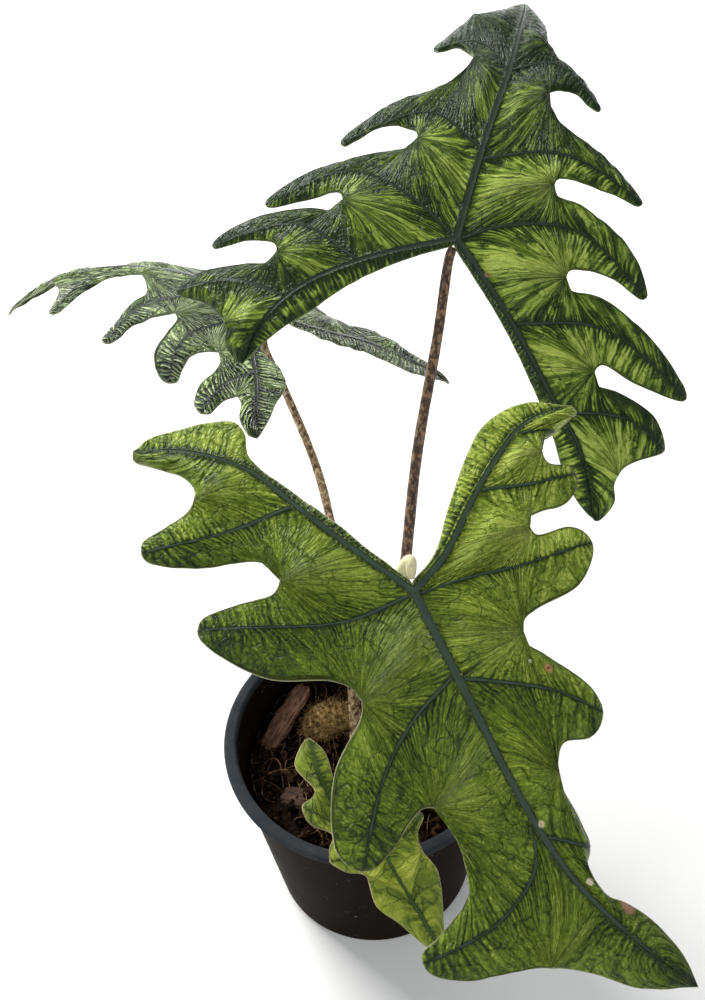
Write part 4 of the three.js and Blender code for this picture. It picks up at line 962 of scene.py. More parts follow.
def blade_piece(name, leaf, finish, slot):
    """Both faces and the rim of a blade, as one closed sheet."""
    flat, triangles, marks, corners = draw_blade(leaf)
    edges = open_edges(triangles)
    margin = nearest_distance(flat, flat[np.unique(edges)])
    level = np.column_stack([flat, 0 * margin])
    size = leaf["rib"]["height"] / FULL_RIB_HEIGHT
    crinkle = EDGE_CRINKLE * size * np.exp(-margin / 3) * lattice_noise(level, 3.4 * size + 0.6, 51)
    crinkle += CRINKLE * size * (1 - marks["rib"]) * lattice_noise(level, 2.2, 52)
    middle = bend_into_place(leaf, flat, marks["lift"] + crinkle)
    count = len(middle)
    a, b, c = (middle[triangles[:, k]] for k in range(3))
    normals = summed_at(triangles, np.cross(b - a, c - a), count)
    normals /= np.linalg.norm(normals, axis=1, keepdims=True)
    half = (THIN_EDGE + (THICK - THIN_EDGE) * smooth(margin / 2.5)) / 2
    bead = RIM_BEAD * np.exp(-((margin / 0.5) ** 2))
    upper = middle + normals * (half + bead + marks["ridge"])[:, None]
    lower = middle - normals * (half + marks["depth"])[:, None]
    rim_of = np.unique(edges)
    step = middle[edges[:, 1]] - middle[edges[:, 0]]
    outwards = summed_at(edges, np.cross(step, normals[edges[:, 0]]), count)[rim_of]
    outwards /= np.linalg.norm(outwards, axis=1, keepdims=True)
    rim = middle[rim_of] + outwards * RIM_BULGE
    band = rim_band(edges, rim_of, count)
    everything = np.concatenate([triangles, count + triangles[:, [0, 2, 1]], band])
    map_corners = np.concatenate([corners, corners[:, [0, 2, 1]], np.zeros((len(band), 3, 2))])
    known = {"margin": np.concatenate([margin, margin, 0 * rim_of])}
    known["under"] = np.repeat([0, 1, RIM_UNDER], [count, count, len(rim_of)])
    for key in ("bright", "rib", "hind", "spread"):
        known[key] = np.concatenate([marks[key], marks[key], marks[key][rim_of]])
    points = np.concatenate([upper, lower, rim])
    node = name + "_leaf_blade"
    add_piece(name + "_green", points, everything, finish, slot, (node,), known, map_corners)


print("a blade is", THICK, "mm thick, at its edge", THIN_EDGE, "mm")

# %% [markdown]
# ## A small kit for finishes
# A finish is a tree of nodes ending in one Principled shader. These helpers add a node, set its inputs
# and join it on, so that a recipe below reads as a list of layers. Numbers that are the same all over
# are set on the shader itself.

# %% A small kit for finishes
class Finish:
    """A material under construction: each method adds a node and returns the socket it gives."""

    def __init__(self, name, **uniform):
        """A new material; uniform are inputs of its shader that are the same all over."""
        self.material = bpy.data.materials.new(name)
        self.material.use_nodes = True
        self.tree = self.material.node_tree
        self.shader = self.tree.nodes["Principled BSDF"]
        for key, value in uniform.items():
            self.shader.inputs[key.replace("_", " ")].default_value = value

    def node(self, kind, inputs, output=0, **settings):
        """A node of that kind with its settings; inputs are values or sockets, by name or number."""
        made = self.tree.nodes.new("ShaderNode" + kind)
        for key, value in settings.items():
            setattr(made, key, value)
        for key, value in inputs.items():
            if isinstance(value, bpy.types.NodeSocket):
                self.tree.links.new(value, made.inputs[key])
            else:
                made.inputs[key].default_value = value
        return made.outputs[output]

    def mark(self, name):
        """A number that each point of the piece knows, by its name."""
        return self.node("Attribute", {}, output=2, attribute_name=name)

    def place(self):
        """The piece's own Object coordinates, in metres."""
        return self.node("TexCoord", {}, output=3)

    def scaled(self, vector, scale):
        """The vector with each part multiplied by its own number."""
        return self.node("Mapping", {"Vector": vector, "Scale": scale})

    def warped(self, vector, place, scale, amount):
        """The vector pushed about by soft noise, by up to half of amount each way."""
        push = self.node("TexNoise", {"Vector": place, "Scale": scale, "Detail": 1.0}, output=1)
        centred = self.node("VectorMath", {0: push, 1: (0.5, 0.5, 0.5)}, operation="SUBTRACT")
        return self.node("VectorMath", {0: centred, 1: (amount,) * 3, 2: vector}, operation="MULTIPLY_ADD")

    def noise(self, vector, scale, detail=3.0, roughness=0.5, distortion=0.0):
        """Soft noise from 0 to 1 with that many waves in a unit of the vector."""
        inputs = {"Scale": scale, "Detail": detail, "Roughness": roughness, "Distortion": distortion}
        return self.node("TexNoise", {"Vector": vector, **inputs})

    def cells(self, vector):
        """How far a place is from the border of its cell; the cells are irregular and about 1 wide."""
        inputs = {"Vector": vector, "Scale": 1.0, "Randomness": 1.0}
        return self.node("TexVoronoi", inputs, feature="DISTANCE_TO_EDGE")

    def sum(self, *terms):
        """The sum of (socket, weight) terms, with a plain number as the start."""
        total = terms[0]
        for socket, weight in terms[1:]:
            total = self.node("Math", {0: socket, 1: weight, 2: total}, operation="MULTIPLY_ADD")
        return total

    def times(self, a, b):
        """The product of two sockets or numbers."""
        return self.node("Math", {0: a, 1: b}, operation="MULTIPLY")

    def step(self, value, low, high, start=0.0, end=1.0):
        """A soft step of value from low to high, held outside."""
        inputs = {"Value": value, "From Min": low, "From Max": high, "To Min": start, "To Max": end}
        return self.node("MapRange", inputs, interpolation_type="SMOOTHSTEP")

    def ramp(self, value, stops):
        """A row of colours by value: stops are (place, (red, green, blue))."""
        socket = self.node("ValToRGB", {"Fac": value})
        ramp = socket.node.color_ramp
        while len(ramp.elements) < len(stops):
            ramp.elements.new(0.5)
        for element, (place, colour) in zip(ramp.elements, stops):
            element.position = place
            element.color = (*colour, 1)
        return socket

    def mix(self, factor, a, b):
        """Colour a where factor is 0, b where it is 1."""
        a, b = ((*c, 1) if isinstance(c, tuple) else c for c in (a, b))
        return self.node("Mix", {0: factor, 6: a, 7: b}, output=2, data_type="RGBA")

    def finish(self, colour, roughness, bumps):
        """Joins colour, roughness and bumps, each (height, millimetres), to the shader."""
        self.tree.links.new(colour, self.shader.inputs["Base Color"])
        self.tree.links.new(roughness, self.shader.inputs["Roughness"])
        below = {}
        for height, depth in bumps:
            inputs = {"Height": height, "Distance": depth * MM, "Strength": 1.0, **below}
            below = {"Normal": self.node("Bump", inputs)}
        self.tree.links.new(below["Normal"], self.shader.inputs["Normal"])
        return self.material


print("the kit for finishes is ready")

# %% [markdown]
# ## Leaf finish
# Between its dark ribs the blade is a mosaic. Side veins about 10 mm apart leave each rib at right
# angles, with a net of cells of about 1 x 2 mm between them. Narrow streaks and a comb of lines 1.9 mm
# apart run beside the ribs, and bright flames spread towards the sinuses. All of it is one number, from 0
# at a vein to 1 in the open blade, and a row of colours turns that number into green. The patterns read
# the piece's own map, which holds the ray from the vein to the sinus and the distance off the vein, both
# in millimetres, so they follow each lobe, and the lines fade where the rays meet at a sinus. Painted
# light and shade make whole parts of a blade lighter where light falls on them and darker where it misses
# them, and a few small spots come last.

# %% Leaf finish
COMB_STEP = 1.9
NEAR_WANDER, FAR_WANDER = 2.2, 3.0


def painted_light_terms(f, place, painted_light):
    """Painted light and shade on whole parts of a blade: (amount, across, back, low, high) for each.

    The amount comes in between low and high, in millimetres along the direction (across, back).
    """
    terms = []
    # painted light and shade: each term lifts or lowers the tone of a whole part of the blade
    for amount, across, back, low, high in painted_light:
        direction = {0: place, 1: (across, back, 0)}
        along = f.node("VectorMath", direction, output=1, operation="DOT_PRODUCT")
        terms.append((f.step(along, low * MM, high * MM), amount))
    return terms


def spotted(f, place, colour, specks):
    """The colour with small round spots on it: (middle, radius, colour) in millimetres for each."""
    for middle, radius, spot in specks:
        ends = {0: place, 1: tuple(c * MM for c in middle)}
        away = f.node("VectorMath", ends, output=1, operation="DISTANCE")
        colour = f.mix(f.step(away, radius * MM, 0.6 * radius * MM), colour, spot)
    return colour


def leaf_finish(name, greens, rib, edge, beneath, feather, comb, comb_reach, vein, net, fine, base,
                open_part, halo, dark_edge, rough, shine, relief, blotch=0.25, front_shade=0.1,
                at_sinus=0.15, grainy=0.5, ridged=0.5, painted_light=(), specks=()):
    """The finish of one blade: greens from vein to open blade, and the colours of rib, edge and underside.

    The tone is base plus each pattern times its weight: feather for the flames, comb for the streaks and
    lines, vein, net, fine for the grain, and blotch. halo sets the width of the dark band beside a vein.
    """
    f = Finish(name, Specular_IOR_Level=shine)
    vein_map = f.node("UVMap", {}, uv_map="veins")
    off = f.node("SeparateXYZ", {"Vector": vein_map}, output=1)
    place = f.place()
    bright, on_rib, margin = f.mark("bright"), f.mark("rib"), f.mark("margin")
    hind, under, spread = f.mark("hind"), f.mark("under"), f.mark("spread")
    near = f.warped(vein_map, place, 150, NEAR_WANDER)
    far = f.warped(near, place, 70, FAR_WANDER)
    feathers = f.noise(f.scaled(near, (0.33, 0.035, 1)), 1.0, 4, 0.6, 0.25)
    flames = f.step(feathers, 0.36, 0.64)
    streaks = f.noise(f.scaled(near, (1.2, 0.09, 1)), 1.0, 3, 0.65, 0.2)
    ray = f.node("SeparateXYZ", {"Vector": near}, output=0)
    uneven_ray = f.sum(0.0, (ray, 2 * math.pi / COMB_STEP), (feathers, 9.0))
    teeth = f.node("Math", {0: uneven_ray}, operation="SINE")
    fringe = f.times(spread, f.step(off, comb_reach, 1.0))
    teeth = f.times(teeth, f.times(fringe, f.step(f.noise(place, 95, 2), 0.3, 0.55)))
    veins = f.step(f.cells(f.scaled(far, (0.1, 0.03, 1))), 0.0, 0.075)
    nets = f.step(f.cells(f.scaled(far, (0.95, 0.5, 1))), 0.0, 0.3)
    grain = f.noise(place, 900, 3, 0.7)
    blotches = f.noise(place, 42, 3)
    opened = f.sum(at_sinus, (spread, 1 - at_sinus))
    tone = f.sum(
        base - 0.5 * (feather + blotch + fine + front_shade),
        (bright, open_part),
        (flames, feather),
        (f.times(f.sum(-0.5, (streaks, 1.0)), opened), comb),
        (teeth, 0.32 * comb),
        # painted light and shade over whole parts of the blade
        *painted_light_terms(f, place, painted_light),
        (blotches, blotch),
        (f.times(spread, f.sum(-vein - 0.6 * net, (veins, vein), (nets, net))), 1.0),
        (grain, fine),
        (hind, front_shade),
        (f.step(margin, 5.0, 1.0), -dark_edge),
    )
    reach = f.sum(0.0, (off, 1.0), (feathers, 3.0 * halo), (streaks, 2.0 * halo), (teeth, 0.3 * halo))
    tone = f.times(tone, f.step(reach, 2.2 * halo, 4.2 * halo, 0.12, 1.0))
    colour = f.ramp(tone, greens)
    fibres = f.noise(f.scaled(vein_map, (0.12, 1.7, 1)), 1.0, 3, 0.6)
    slate = f.mix(fibres, tuple(0.6 * c for c in rib), tuple(1.8 * c for c in rib))
    rib_tone = f.mix(f.step(on_rib, 0.5, 0.98), tuple(0.5 * c for c in rib), slate)
    colour = f.mix(on_rib, colour, rib_tone)
    colour = f.mix(f.times(under, 0.75), colour, beneath)
    colour = f.mix(f.step(margin, 0.42, 0.1), colour, edge)
    colour = spotted(f, place, colour, specks)
    gloss = f.sum(rough - 0.08, (f.noise(place, 260, 3), 0.16), (on_rib, 0.1))
    open_streaks = f.times(streaks, opened)
    quilt = f.sum(
        0.0, (veins, 1.4), (nets, 0.8), (open_streaks, 2 * grainy), (teeth, ridged), (grain, grainy),
    )
    height = f.times(quilt, f.sum(1.0, (on_rib, -1.0)))
    return f.finish(colour, gloss, ((height, relief),))


top_finish = leaf_finish(
    "leathery green with bright feathers",
    [(0.0, (0.014, 0.031, 0.009)), (0.2, (0.03, 0.055, 0.01)), (0.42, (0.068, 0.112, 0.014)),
     (0.66, (0.19, 0.28, 0.03)), (1.0, (0.46, 0.57, 0.11))],
    rib=(0.026, 0.04, 0.025), edge=(0.13, 0.17, 0.06), beneath=(0.14, 0.19, 0.05),
    feather=0.6, comb=0.8, comb_reach=12.0, vein=0.2, net=0.08, fine=0.16, base=0.22, open_part=0.4,
    halo=2.5, dark_edge=0.25, front_shade=0.2, rough=0.3, shine=0.15, relief=0.26, grainy=0.35, ridged=0.7,
    # the next numbers paint light and shade over parts of this blade
    painted_light=((-0.3, 0.6, 1, 160, 190), (0.26, 1, -1, -80, 5)),
    specks=(((55.1, 59.4, 309.1), 1.3, (0.3, 0.2, 0.09)),),
)
FRONT_SPECKS = (
    ((50.7, -89.7, 272.5), 0.75, (0.62, 0.65, 0.48)),
    ((56.2, -90.7, 269.7), 1.7, (0.5, 0.25, 0.1)),
    ((56.2, -90.7, 269.7), 0.8, (0.12, 0.1, 0.03)),
    ((49.4, -130.0, 247.0), 1.3, (0.6, 0.52, 0.3)),
    ((62.3, -143.5, 236.1), 1.4, (0.62, 0.56, 0.4)),
    ((73.7, -147.1, 227.3), 3.2, (0.34, 0.19, 0.11)),
)
front_finish = leaf_finish(
    "fresh green with slate ribs",
    [(0.0, (0.015, 0.028, 0.01)), (0.2, (0.037, 0.06, 0.01)), (0.5, (0.1, 0.152, 0.012)),
     (0.78, (0.21, 0.29, 0.03)), (1.0, (0.4, 0.48, 0.08))],
    rib=(0.036, 0.058, 0.038), edge=(0.34, 0.36, 0.17), beneath=(0.16, 0.22, 0.06),
    feather=0.26, comb=0.6, comb_reach=13.0, vein=0.22, net=0.2, fine=0.75, base=0.46, open_part=0.22,
    halo=1.1, dark_edge=0.1, rough=0.34, shine=0.15, relief=0.24, grainy=0.6, ridged=0.7,
    # the next numbers paint light and shade over parts of this blade
    painted_light=((0.36, 0.6, 1, -100, -10), (0.09, 0, 1, -115, -150)), specks=FRONT_SPECKS,
)
# The side leaf's comb of lines is its own pattern. Its palest greens and strong comb weight paint glare on
# it: the pale lines stand in for reflected window light.
side_finish = leaf_finish(
    "deep green with painted glare",
    [(0.0, (0.006, 0.013, 0.005)), (0.25, (0.024, 0.048, 0.01)), (0.6, (0.12, 0.2, 0.03)),
     (1.0, (0.56, 0.68, 0.34))],
    rib=(0.016, 0.028, 0.018), edge=(0.3, 0.34, 0.18), beneath=(0.12, 0.17, 0.05),
    feather=0.5, comb=1.7, comb_reach=20.0, vein=0.3, net=0.15, fine=0.15, base=0.48, open_part=0.25,
    halo=1.6, dark_edge=0.05, at_sinus=0.5, rough=0.2, shine=0.36, relief=0.5, grainy=0.3, ridged=1.6,
    # the next numbers paint light and shade over parts of this blade
    painted_light=((-0.2, 1, 0, -30, 0),),
)
young_finish = leaf_finish(
    "pale young green",
    [(0.0, (0.04, 0.065, 0.014)), (0.2, (0.085, 0.12, 0.018)), (0.5, (0.18, 0.235, 0.026)),
     (0.8, (0.33, 0.38, 0.05)), (1.0, (0.46, 0.5, 0.09))],
    rib=(0.04, 0.07, 0.022), edge=(0.42, 0.34, 0.19), beneath=(0.2, 0.26, 0.08),
    feather=0.35, comb=0.3, comb_reach=10.0, vein=0.28, net=0.1, fine=0.25, blotch=0.45, base=0.46,
    open_part=0.3, halo=1.1, dark_edge=0.0, front_shade=0.0, rough=0.34, shine=0.1, relief=0.16,
    # the next numbers paint light and shade over parts of this blade
    painted_light=((-0.16, 0, 1, -75, -45),),
)
print("four leaf finishes")

# %% [markdown]
# ## The four blades
# The top leaf is the oldest and stands highest, the front leaf nods towards the viewer, the side leaf
# leans away to the left, and the young leaf is small and pale and hangs over the rim.

# %% The four blades
blade_piece("top", TOP_LEAF, top_finish, "mature_leaf")
blade_piece("front", FRONT_LEAF, front_finish, "fresh_leaf")
blade_piece("side", SIDE_LEAF, side_finish, "dark_leaf")
blade_piece("young", YOUNG_LEAF, young_finish, "young_leaf")

# %% [markdown]
# ## Stalks
# Each stalk is a round stem that rises from the corm, widens into a sheath at its foot and slims
# towards its leaf, where it ends in the notch behind the blade's three ribs. A circle carried along its
# line gives it, with the radius as a formula. The skin is brown with short tan flecks along the stem,
# paler on the side and young leaf, and the front leaf's stalk has a cream cap.

# %% Stalks
STALK_SIDES, STALK_STEPS = 20, 200
GAP = 0.3
NOSE_LENGTH, FRONT_NOSE_LENGTH, NOSE_BLUNT = 2.4, 9, 0.35
CAP_LENGTH = 15
SHEATH = 0.3
LEVEL_HINT = (1.0, 0.1, 0.0)
CREAM = (0.72, 0.68, 0.4)


def around(count):
    """Angles spread evenly over a full turn."""
    return 2 * np.pi * np.arange(count) / count


def carried_rings(spines, radius, sides, hint):
    """Threads: on each spine, circles square to its direction, closed at both ends by its end points.

    spines are (thread, step, 3) and radius is one number for each step. One axis of a circle is the
    cross product of the direction and the hint, the other that of the direction and the first.
    """
    count, steps = spines.shape[:2]
    ahead = np.gradient(spines, axis=1)
    ahead /= np.linalg.norm(ahead, axis=2, keepdims=True)
    first = np.cross(ahead, hint)
    first /= np.linalg.norm(first, axis=2, keepdims=True)
    second = np.cross(ahead, first)
    turn = around(sides)[:, None]
    ring = first[:, :, None] * np.cos(turn) + second[:, :, None] * np.sin(turn)
    middle = spines[:, :, None] + 0 * ring
    rings = middle + ring * np.asarray(radius)[..., None, None]
    points = np.concatenate([middle[:, :1], rings, middle[:, -1:]], axis=1)
    own = np.arange(count)[:, None, None] * (steps + 2) * sides
    return points.reshape(-1, 3), (grid_cells(steps + 2, sides, close_rows=True) + own).reshape(-1, 3)


def stalk_end(leaf, end_radius, shoulder):
    """The last two points of a stalk: the notch behind its blade's ribs, and a shoulder before it."""
    ahead, left, up = leaf_axes(leaf)
    arms = [leaf[side]["arm"] for side in ("left", "right")]
    notch = rib_corner(leaf, *(Line([(0, 0), *arm["bend"], arm["tip"]]) for arm in arms))
    half_angle = math.asin(leaf["rib"]["width"] / np.linalg.norm(notch))
    notch = notch / np.linalg.norm(notch)
    back = ahead * notch[0] + left * notch[1]
    nose = end_radius * NOSE_BLUNT
    clear = (leaf["rib"]["width"] + INNER_EDGE + GAP + nose * math.cos(half_angle)) / math.sin(half_angle)
    end = np.array(leaf["at"], float) + back * clear
    return [end + back * shoulder[0] - up * shoulder[1], end]


def stalk_finish(name, dark, brown, tan):
    """Brown skin with short tan flecks drawn out along the stem, and a cream cap where it is marked."""
    f = Finish(name, Specular_IOR_Level=0.4, Coat_Weight=0.05)
    place = f.place()
    flecks = f.noise(f.scaled(place, (1, 1, 0.42)), 620, 3, 0.6, 0.4)
    freckles = f.noise(place, 1300, 2, 0.6)
    broad = f.noise(place, 45, 2)
    tone = f.sum(-0.85, (flecks, 2.2), (freckles, 0.35), (broad, 0.2))
    colour = f.ramp(tone, [(0.3, dark), (0.44, brown), (0.56, brown), (0.7, tan)])
    speckle = f.step(f.noise(place, 900, 2), 0.3, 0.5)
    colour = f.mix(f.mark("cap"), colour, f.mix(speckle, tuple(0.8 * c for c in CREAM), CREAM))
    return f.finish(colour, f.sum(0.45, (flecks, 0.2)), ((flecks, 0.3), (freckles, 0.12)))


STALK_FINISHES = {
    "top": stalk_finish(
        "dark mottled stalk", (0.018, 0.009, 0.007), (0.075, 0.035, 0.018), (0.27, 0.16, 0.085),
    ),
    "side": stalk_finish("pale mottled stalk", (0.07, 0.038, 0.016), (0.32, 0.21, 0.11), (0.66, 0.5, 0.3)),
    "young": stalk_finish("young stalk", (0.07, 0.055, 0.024), (0.22, 0.2, 0.07), (0.4, 0.36, 0.18)),
}
STALK_FINISHES["front"] = STALK_FINISHES["top"]

STALKS = (
    ("top", TOP_LEAF, [(5, 5, 80), (9, 13, 110), (20, 31, 175), (27.5, 43, 238), (37, 58, 285)],
     (4.6, 2.9, 1.9), (3, 4)),
    ("front", FRONT_LEAF, [(3, -5, 80), (5, -9, 110), (7, -22, 170), (10, -44, 235), (12.5, -61, 280)],
     (4.4, 2.9, 2.0), (5, -2.5)),
    ("side", SIDE_LEAF,
     [(-5, 3, 80), (-5, 12, 112), (-6, 33, 155), (-13, 67, 202), (-26.4, 97, 230.5), (-34, 112, 245)],
     (3.9, 2.3, 1.7), (6, 2)),
    ("young", YOUNG_LEAF, [(-6, -5, 80), (-7, -12, 104), (-6, -34, 132)], (3, 1.7, 1.3), (4, 4.5)),
)


def stalk_piece(name, leaf, path, radii, shoulder):
    """A stalk's skin: neck to end evenly, plus the sheath at its foot, blunt at its nose, a bit uneven."""
    base, neck, end = radii
    line = Line([*path, *stalk_end(leaf, end, shoulder)])
    u = crowded(np.linspace(0, 1, STALK_STEPS + 1), 1.3)
    nose = np.minimum(1, (1 - u) * line.length / (FRONT_NOSE_LENGTH if name == "front" else NOSE_LENGTH))
    blunt = NOSE_BLUNT + (1 - NOSE_BLUNT) * np.sqrt(1 - (1 - nose) ** 2)
    radius = (neck + (end - neck) * u + (base - neck) * np.maximum(0, 1 - u / SHEATH) ** 2) * blunt
    uneven = 0.06 * np.sin(u * line.length / 5.1) + 0.05 * np.sin(u * line.length / 2.3 + 1)
    points, cells = carried_rings(line.at(u)[None], radius - 0.05 + 0.5 * uneven, STALK_SIDES, LEVEL_HINT)
    along = np.repeat([0, *u, 1], STALK_SIDES)
    cap = smooth(((along - 1) * line.length + CAP_LENGTH) / 1.5) if name == "front" else 0 * along
    first = join_near(points, cells)[0]
    slot = "young_stalk" if name == "young" else "mottled_stalk"
    skin, node = closed(points, cells), name + "_leaf_stalk"
    add_piece(name + "_stem", *skin, STALK_FINISHES[name], slot, (node,), {"cap": cap[first]})


for name, leaf, path, radii, shoulder in STALKS:
    stalk_piece(name, leaf, path, radii, shoulder)

# %% [markdown]
# ## Pot
# The pot is one thin moulding of black plastic with a flat rolled lip. Turning a profile round an axis
# gives it, and the corners of the profile are rounded first, because moulded edges always are. The six
# drainage holes are cut by drawing the floor as six plates, each a ring between a hole and its borders.

# %% Pot
TURNS = 192
RIM, LIP_WIDTH, LIP_DEPTH, HEIGHT, FOOT, WALL, FLOOR = 65, 5.7, 3.6, 107, 48.7, 1.5, 3.5
RECESS, PAD, RECESS_OUT = 1.5, 14, 41
DRAIN_RADIUS, DRAIN_CIRCLE, DRAIN_HOLES = 4, 28, 6
CORNER_STEPS, PROFILE_STEP = 6, 4
PLATE_SIDE_STEPS, PLATE_RINGS, PLATE_CROWDING = 14, 6, 1.5
LIP_INNER, BODY_TOP, INNER_FLOOR = RIM - LIP_WIDTH, RIM - LIP_WIDTH + WALL, FOOT - WALL


def polar(radius, angle, height):
    """Points at that distance from the upright axis, turned by that angle, at that height."""
    return np.stack(np.broadcast_arrays(radius * np.cos(angle), radius * np.sin(angle), height), -1)


def rounded_profile(corners):
    """A profile whose corners (radius, height, rounding) are replaced by short curves."""
    out = [np.array(corners[0][:2], float)[None]]
    for before, corner, after in zip(corners[:-2], corners[1:-1], corners[2:]):
        a, c, b = (np.array(point[:2], float) for point in (before, corner, after))
        size = min(corner[2], 0.45 * np.linalg.norm(a - c), 0.45 * np.linalg.norm(b - c))
        start, stop = (c + (p - c) / np.linalg.norm(p - c) * size for p in (a, b))
        t = np.linspace(0, 1, CORNER_STEPS)[:, None]
        out.append((1 - t) ** 2 * start + 2 * t * (1 - t) * c + t**2 * stop)
    out.append(np.array(corners[-1][:2], float)[None])
    return np.concatenate(out)


def split_long(profile, longest):
    """The profile with extra points on its straight parts, none further apart than that."""
    reach = np.concatenate([[0], np.cumsum(np.linalg.norm(np.diff(profile, axis=0), axis=1))])
    parts = []
    for a, b in zip(reach[:-1], reach[1:]):
        parts.append(np.linspace(a, b, max(1, math.ceil((b - a) / longest)), endpoint=False))
    places = np.concatenate([*parts, reach[-1:]])
    return np.stack([np.interp(places, reach, profile[:, k]) for k in (0, 1)], -1)


def turned(profile, turns=TURNS):
    """Points and triangles of a profile (radius, height) turned round the upright axis."""
    points = polar(profile[:, 0, None], around(turns), profile[:, 1, None])
    return points.reshape(-1, 3), grid_cells(len(profile), turns, close_rows=True)


def floor_plate(number, heights):
    """One sixth of the pot's floor round its drainage hole: rings from the hole to the plate's borders."""
    start = 2 * np.pi * number / DRAIN_HOLES
    turn = start + 2 * np.pi / TURNS * np.arange(TURNS // DRAIN_HOLES + 1)
    across = np.linspace(RECESS_OUT - 1, PAD + 1, PLATE_SIDE_STEPS + 1)
    level = 0 * turn[:-1]
    radius = np.concatenate([level + across[0], across[:-1], level + across[-1], across[:0:-1]])
    angle = np.concatenate([turn[:-1], 0 * across[:-1] + turn[-1], turn[:0:-1], 0 * across[:-1] + start])
    border = polar(radius, angle, 0)[:, :2]
    middle = polar(DRAIN_CIRCLE, start + np.pi / DRAIN_HOLES, 0)[:2]
    way = border - middle
    hole = middle + DRAIN_RADIUS * way / np.linalg.norm(way, axis=1, keepdims=True)
    inwards = np.linspace(1, 0, PLATE_RINGS) ** PLATE_CROWDING
    w = np.concatenate([inwards, inwards[::-1]])
    flat = hole + (border - hole) * w[:, None, None]
    z = np.repeat(heights, len(inwards) * len(border)).reshape(*flat.shape[:2], 1)
    points = np.concatenate([flat, z], -1)
    return points.reshape(-1, 3), grid_cells(len(w), len(border), close_rows=True)


def pot_finish():
    """Satin black plastic with a painted grey-blue reflection on the lip, dust, pale specks and thin level
    scuffs.
    """
    f = Finish("satin black plastic", Specular_IOR_Level=0.004)
    place = f.place()
    height = f.node("SeparateXYZ", {"Vector": place}, output=2)
    dust = f.noise(place, 55, 5, 0.65)
    specks = f.step(f.noise(place, 420, 2), 0.68, 0.78)
    scuffs = f.step(f.noise(f.scaled(place, (1, 1, 7)), 90, 4, 0.6, 0.6), 0.6, 0.78)
    lip = f.step(height, (HEIGHT - 4.5) * MM, (HEIGHT - 1.5) * MM)
    warm = (0.0095, 0.006, 0.004)
    # painted reflection: the lip's grey-blue stands in for the pale sky mirrored on it
    painted_lip_sheen = f.mix(f.noise(place, 130, 4), (0.018, 0.023, 0.029), (0.05, 0.055, 0.06))
    colour = f.mix(lip, f.mix(dust, tuple(0.7 * c for c in warm), tuple(1.6 * c for c in warm)), painted_lip_sheen)
    colour = f.mix(f.times(scuffs, 0.1), colour, (0.06, 0.05, 0.042))
    colour = f.mix(f.times(specks, 0.6), colour, (0.2, 0.17, 0.13))
    rough = f.sum(0.3, (dust, 0.22), (scuffs, 0.12), (lip, 0.1))
    return f.finish(colour, rough, ((dust, 0.08), (f.noise(place, 1500, 2), 0.02)))


shell = split_long(rounded_profile([
    (RECESS_OUT - 1, RECESS, 0), (RECESS_OUT, 0, 0.3), (FOOT - 1, 0, 0.4), (FOOT, 1, 0.6),
    (BODY_TOP, HEIGHT - LIP_DEPTH, 0.5), (RIM - 0.6, HEIGHT - LIP_DEPTH, 0.4),
    (RIM, HEIGHT - LIP_DEPTH + 0.7, 0.6), (RIM, HEIGHT - 1.2, 1), (RIM - 1.2, HEIGHT, 1),
    (LIP_INNER + 0.9, HEIGHT, 0.8), (LIP_INNER, HEIGHT - 0.9, 0.9), (INNER_FLOOR, FLOOR, 1),
    (RECESS_OUT - 1, FLOOR, 0),
]), PROFILE_STEP)
pad = np.array([(0, FLOOR), (PAD + 1, FLOOR), (PAD + 1, RECESS), (PAD, 0), (0, 0)], float)
POT_PARTS = [turned(shell), turned(pad[:2]), turned(pad[2:])]
POT_PARTS += [floor_plate(number, (RECESS, FLOOR)) for number in range(DRAIN_HOLES)]
points, cells = gather(POT_PARTS)
first, _, joined, whole = join_near(points, cells)
pot = add_piece("pot_shell", points[first], joined[whole], pot_finish(), "pot_plastic", ("pot",))


def face_outwards(piece):
    """Turns every face of a closed mesh that was put together from parts so that it faces out."""
    work = bmesh.new()
    work.from_mesh(piece.data)
    bmesh.ops.recalc_face_normals(work, faces=work.faces)
    work.to_mesh(piece.data)
    work.free()


face_outwards(pot)

# %% [markdown]
# ## Potting mix
# The mix is dark bark and coir. Its surface is a height over the pot's round inside: broad swells as in
# the plain solid, plus lumps at two sizes from smooth lattice noise.

# %% Potting mix
SOIL_LEVEL, SOIL_BUMP, SOIL_TURNS, SOIL_RINGS = 84, 1.8, 200, 84
SOIL_WALL_TOP, SOIL_WALL_FOOT, SOIL_INSET = 82, 4, 0.4


def inner_radius(z):
    """The pot's inside narrows evenly from its lip to its floor."""
    return INNER_FLOOR + (LIP_INNER - INNER_FLOOR) * (z - FLOOR) / (HEIGHT - FLOOR)


def soil_height(x, y):
    """Height of the mix: broad swells and finer ones, as in the plain solid."""
    broad = np.sin(x / 9 + 1.3) * np.cos(y / 8 - 0.4)
    fine = 0.45 * np.sin(x / 3.6 + y / 4.7) + 0.35 * np.cos(x / 5.2 - y / 3.1)
    return SOIL_LEVEL + SOIL_BUMP * (broad + fine)


def mix_finish(name, colours, rough=0.85):
    """Damp broken matter: each crumb its own brown by its place, with fine grain and a few glints."""
    f = Finish(name, Specular_IOR_Level=0.06)
    place = f.place()
    crumb = f.node("TexVoronoi", {"Vector": place, "Scale": 420.0, "Randomness": 1.0}, output=0)
    grain = f.noise(place, 700, 4, 0.6)
    broad = f.noise(place, 60, 3)
    tone = f.sum(-0.1, (crumb, 0.5), (grain, 0.5), (broad, 0.4))
    colour = f.ramp(tone, colours)
    return f.finish(colour, f.sum(rough - 0.35, (broad, 0.5)), ((crumb, 0.8), (grain, 0.3)))


